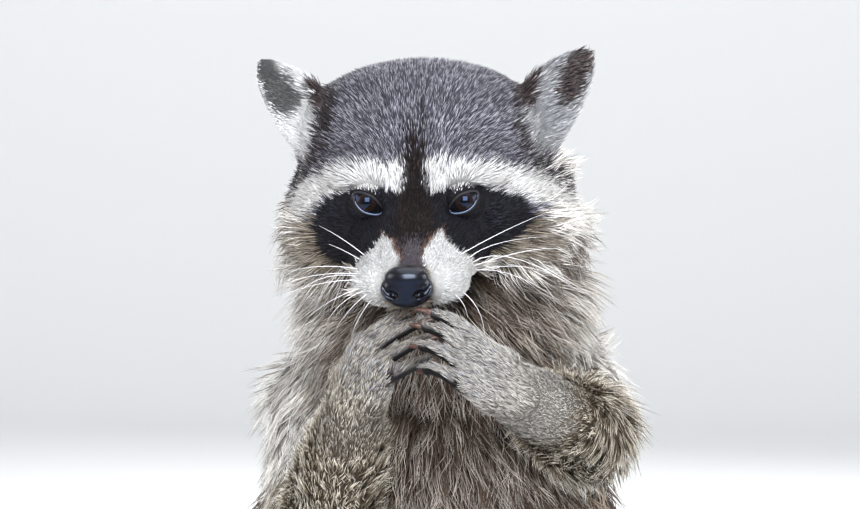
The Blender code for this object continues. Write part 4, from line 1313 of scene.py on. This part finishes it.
palette = linear([[HAIR[kind][level] for level in range(4)] for kind in KINDS])
odds = np.array([HAIR[kind][4] for kind in KINDS])
shapes = np.array([HAIR[kind][5:8] for kind in KINDS], dtype=float)
for number, (name, regions, count, rings, pieces, slot) in enumerate(COAT):
    # Where the blades grow: evenly over the skin of these regions, but by how densely each kind grows.
    dice = np.random.default_rng(FIRST_SEED + number)
    mine = np.isin(home, [place for place, region in enumerate(REGIONS) if region.startswith(regions)])
    worth = tri_area * density * mine
    if name in DENSER_IN_FRONT:
        worth *= BEHIND + (1 - BEHIND) * seen
    total = np.cumsum(worth)
    pick = np.searchsorted(total, (np.arange(count) + dice.random(count)) / count * total[-1])
    pick = np.minimum(pick, len(worth) - 1)
    bary = np.sqrt(dice.random(count))
    second = dice.random(count)
    bary = np.stack([1 - bary, bary * (1 - second), bary * second], 1)
    at = corners[pick]
    root = (points[at] * bary[..., None]).sum(1)
    up_way = unit((normals[at] * bary[..., None]).sum(1))
    lie = flattened((flow[at] * bary[..., None]).sum(1), up_way)

    # What each blade is: the kind that shows where its upper part lies, shorter by eyes, nose and ear rims.
    kinds_here, _ = markings(root, up_way)
    long_here = mixed(5, kinds_here)
    shown_at = root + lie * (long_here * SHOWS_AT * MM)[:, None]
    kinds_here, _ = markings(shown_at, up_way)
    first_kind = (np.cumsum(kinds_here, 1) < dice.random(count)[:, None]).sum(1).clip(0, len(KINDS) - 1)
    length, lift, width = (shapes[first_kind] * (1 - NEXT_KIND) + (kinds_here @ shapes) * NEXT_KIND).T
    length = length * dice.uniform(0.75, 1.2, count) * MM
    lift = np.radians(lift)
    for word in SIDES:
        from_eye, lid_gap = past_lids(root, word)
        length *= np.where(from_eye < 22, 0.3 + 0.7 * ease(lid_gap, 0, 7), 1)
    for word, side in SIDES.items():
        in_ear = (root - np.array(ear_frames[word].translation)) @ np.array(ear_frames[word].to_3x3()) / MM
        of_ear = kinds_here[:, [KINDS.index(k) for k in ("ear_shade", "ear_white", "ear_back")]].sum(1)
        rim = np.maximum(ease(side * in_ear[:, 0], 2, 12), ease(in_ear[:, 2], 14, 34))
        length *= 1 - 0.6 * rim * (np.abs(in_ear[:, 0]) < 22) * of_ear
    to_nose = np.linalg.norm(head_place(root) - np.array(NOSE_TIP), axis=1)
    length *= 0.55 + 0.45 * ease(to_nose, 12, 26)

    # Tufts: each blade leans to its tuft's middle one, and a tuft has a lean and a shade of its own.
    middles = np.arange(0, count, TUFT)
    tree = KDTree(len(middles))
    for order, point in enumerate(root[middles]):
        tree.insert(point, order)
    tree.balance()
    tuft = np.array([tree.find(point)[1] for point in root])
    loose = ease(length / MM, 3, 22)
    tuft_swing = (5 + 9 * loose) * dice.normal(0, 1, len(middles))[tuft]
    swing = np.radians(tuft_swing + (4 + 8 * loose) * dice.normal(0, 1, count))
    tuft_lift = (0.1 + 0.2 * loose) * dice.normal(0, 1, len(middles))[tuft]
    lift = np.clip(lift * (1 + tuft_lift + dice.normal(0, 0.15, count)), LEAST_LIFT, MOST_LIFT)
    across = np.cross(up_way, lie)
    swing = np.clip(swing, -MOST_SWING, MOST_SWING)
    lie = unit(lie * np.cos(swing)[:, None] + across * np.sin(swing)[:, None])
    across = np.cross(up_way, lie)
    steps = np.arange(rings + 1) / rings
    bend = lift[:, None] * (1.55 - 1.1 * steps[None, :])
    stride = length[:, None] / rings
    forward = from_root(np.cos(bend[:, :-1]) * stride)
    raised = from_root(np.sin(bend[:, :-1]) * stride) - ROOT_SUNK
    sway = dice.normal(0, 0.09, (count, 1)) * length[:, None]
    wave = sway * np.sin(steps[None, :] * 5 + dice.uniform(0, 6, (count, 1)))
    wave *= steps[None, :] * ease(length / MM, 10, 24)[:, None]
    line = root[:, None, :] + lie[:, None, :] * forward[..., None] + up_way[:, None, :] * raised[..., None]
    line = line + across[:, None, :] * wave[..., None]
    gather = (0.1 + 0.5 * loose)[:, None] * steps[None, :] ** 1.4
    line += (line[middles[tuft]] - line) * gather[..., None]
    line[:, 1:, 2] = np.maximum(line[:, 1:, 2], FLOOR_GAP)

    # Its shape: three corners to a ring, flat side down, and a point for a tip.
    way = unit(line[:, 1:] - line[:, :-1])
    way = np.concatenate([way, way[:, -1:]], 1)
    side_way = unit(np.cross(way, up_way[:, None, :]))
    top_way = np.cross(side_way, way)
    half = (width * dice.uniform(0.7, 1.25, count) * MM / 2)[:, None] * BLADE_WIDTHS[None, :rings]
    ring = np.stack([
        line[:, :rings] - side_way[:, :rings] * half[..., None],
        line[:, :rings] + side_way[:, :rings] * half[..., None],
        line[:, :rings] + top_way[:, :rings] * (half * BLADE_DEPTH)[..., None],
    ], 2).reshape(count, rings * 3, 3)
    cloud = np.concatenate([ring, line[:, -1:]], 1)

    # Its colours: root, middle, and one of its kind's two tips, which some blades share with their tuft.
    shared = 0 if name == "coat_hands" else TUFT_LUCK
    luck = np.where(dice.random(count) < shared, dice.random(len(middles))[tuft], dice.random(count))
    other = luck < odds[first_kind]
    levels = palette[first_kind]
    tip = np.where(other[:, None], levels[:, 3], levels[:, 2])
    paint = np.stack([levels[:, 0], levels[:, 1], tip], 1)
    at_level = np.interp(np.arange(rings + 1) / rings, [0, 0.5, 1], [0, 1, 2])
    low = np.minimum(at_level.astype(int), 1)
    past = (at_level - low)[None, :, None]
    paint = paint[:, low] * (1 - past) + paint[:, low + 1] * past
    tuft_shade = (0.04 + 0.08 * loose) * dice.normal(0, 1, len(middles))[tuft]
    shade = np.exp(tuft_shade + dice.normal(0, 0.10, count) + 0.08 * ripple(root, 0.02, 5))
    paint = np.clip(paint * shade[:, None, None], 0, 1)
    paint = np.concatenate([np.repeat(paint[:, :rings], 3, axis=1), paint[:, -1:]], 1)

    # Its place on the coat's flat sheet is a small patch where its root lies on the skin, laid out flat.
    faces_shown = np.zeros(len(skin.data.polygons), dtype=bool)
    faces_shown[polygon_of[mine]] = True
    sheet = unwrap(faces_shown, name)
    spot = (sheet[tri_loops[pick]] * bary[..., None]).sum(1)
    corner_u = np.tile([-0.5, 0.5, 0.0], rings)
    corner_v = np.repeat(np.arange(rings) / rings, 3)
    patch = np.stack([np.append(corner_u, 0), np.append(corner_v, 1) - 0.5], 1) * PATCH
    flat_place = spot[:, None, :] + patch[None]

    # Its faces: one across the root, three between each ring and the next, and three up to the tip.
    around = ((0, 1), (1, 2), (2, 0))
    shape = [(0, 2, 1)]
    shape += [(r + a, r + b, r + 3 + b, r + 3 + a) for r in range(0, 3 * (rings - 1), 3) for a, b in around]
    shape += [(3 * (rings - 1) + a, 3 * (rings - 1) + b, 3 * rings) for a, b in around]
    per, sizes = 3 * rings + 1, np.array([len(f) for f in shape])
    flat_shape = np.array([v for f in shape for v in f])
    for part_number, chosen in enumerate(np.array_split(dice.permutation(count), pieces)):
        mesh = bpy.data.meshes.new(name)
        mesh.vertices.add(len(chosen) * per)
        mesh.vertices.foreach_set("co", cloud[chosen].ravel())
        loops = (np.arange(len(chosen))[:, None] * per + flat_shape[None, :]).ravel()
        mesh.loops.add(len(loops))
        mesh.loops.foreach_set("vertex_index", loops)
        totals = np.tile(sizes, len(chosen))
        mesh.polygons.add(len(totals))
        mesh.polygons.foreach_set("loop_start", np.concatenate([[0], np.cumsum(totals)[:-1]]))
        mesh.polygons.foreach_set("loop_total", totals)
        mesh.update(calc_edges=True)
        colour = mesh.color_attributes.new("coat_colour", "FLOAT_COLOR", "POINT")
        dyed = np.concatenate([paint[chosen], np.ones((len(chosen), per, 1))], 2)
        colour.data.foreach_set("color", dyed.ravel())
        baked = mesh.uv_layers.new(name="OFBake")
        baked.data.foreach_set("uv", flat_place[chosen].reshape(-1, 2)[loops].ravel())
        mesh.materials.append(fur)
        suffix = f"_{part_number + 1}" if pieces > 1 else ""
        coat = bpy.data.objects.new(name + suffix, mesh)
        bpy.context.scene.collection.objects.link(coat)
        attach(coat, "root")

# ----------------------------------------------------------------------
# The whiskers: stiff white bristles that stand out from the pads at the sides of the muzzle. Each is rooted
# in the skin, thick at the root, and curves outwards and back to a fine tip.
WHISKERS = [  # places in the front view, in millimetres, and how far back the tip goes by its length
    ([(-21.0, -22.8), (-31, -15.5), (-40.3, -10.2)], 0.3),
    ([(-23.1, -24.5), (-30, -20.6), (-36.5, -17.8)], 0.3),
    ([(-24.0, -28.3), (-40, -27.2), (-53.7, -29.6)], 0.4),
    ([(-24.0, -33.0), (-40, -34.5), (-55, -39.2)], 0.4),
    ([(-22.5, -36.3), (-34, -41), (-44.5, -48)], 0.4),
    ([(-23.0, -30.5), (-42, -31), (-59, -36)], 0.5),
    ([(-20.0, -38.8), (-27, -45), (-33, -53)], 0.3),
    ([(-18.0, -41.0), (-23, -48), (-27, -57)], 0.3),
    ([(18.1, -22.8), (36, -13.0), (54.2, -4.8)], 0.35),
    ([(22.4, -23.7), (34.9, -17.4), (55.9, -14.4)], 0.4),
    ([(23.6, -25.5), (42, -23.7), (68.1, -37.1)], 0.45),
    ([(24.7, -32.5), (45.4, -36.5), (54, -49)], 0.4),
    ([(16, -38.8), (20, -43), (22, -49)], 0.2),
    ([(22.6, -38.9), (28, -45), (32.5, -55)], 0.3),
    ([(24.6, -29.0), (44, -27.0), (63, -32.5)], 0.45),
    ([(23.6, -35.5), (38, -42), (46, -56)], 0.35),
    ([(19.6, -37.9), (27, -47), (29, -60)], 0.3),
    ([(24.0, -27.0), (47, -20.5), (62, -20)], 0.45),
    ([(24.6, -28.5), (42, -31), (60.5, -41.5)], 0.4),
    ([(24.5, -34.0), (48, -37), (60, -49.5)], 0.4),
    ([(24.6, -31.0), (46, -30.5), (65, -39)], 0.45),
    ([(-24.0, -31.5), (-40, -32.5), (-53, -42)], 0.4),
    ([(-21.5, -37.5), (-31, -43), (-38, -52)], 0.35),
]
TIP_THICK, ROOT_THICK = 0.03, 0.15  # the bristle's radius at its tip, and what the root's is beyond that
STATIONS = (0, 0.12, 0.25, 0.4, 0.55, 0.7, 0.85, 1)
WELL_IN_FRONT = 120  # millimetres forward of the eyes, where the search for the skin starts
ground = BVHTree.FromObject(skin, bpy.context.evaluated_depsgraph_get())


def in_front(flat, forward):
    """The point that shows at this place of the front view, this far forward of the eyes."""
    nearer = 1 - forward / (CAMERA_DISTANCE / MM)
    return EYE_MID + (Vector((flat[0], 0, 0)) * nearer + LOOK_UP * flat[1] * nearer + LOOK * forward) * MM


bristles = []
for spots, back in WHISKERS:
    start = in_front(spots[0], WELL_IN_FRONT)
    root = ground.ray_cast(start, (in_front(spots[0], 0) - start).normalized())[0]
    forward = (root - EYE_MID).dot(LOOK) / MM
    a, b, c = (Vector(p) for p in spots)
    reach = (c - a).length
    stations = []
    for share in STATIONS:
        flat = a * (1 - share) * (1 - 2 * share) + b * 4 * share * (1 - share) + c * share * (2 * share - 1)
        at = in_front(flat, forward - 1 + 4 * share - share**1.5 * back * reach)
        stations.append((at, ROOT_THICK * (1 - share) ** 0.8 + TIP_THICK))
    bristles.append(tube(stations, "whisker", sides=1))
whiskers = join(bristles)
whiskers.name = "whiskers"
bristle, tree, shader, place = new_material("bristle", {"Roughness": 0.35})
pale = toned(tree, place["Object"], 120, (0.52, 0.50, 0.53), (0.84, 0.83, 0.84))
feed(tree, shader, {"Base Color": pale})
dress(whiskers, bristle)
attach(whiskers, "root")
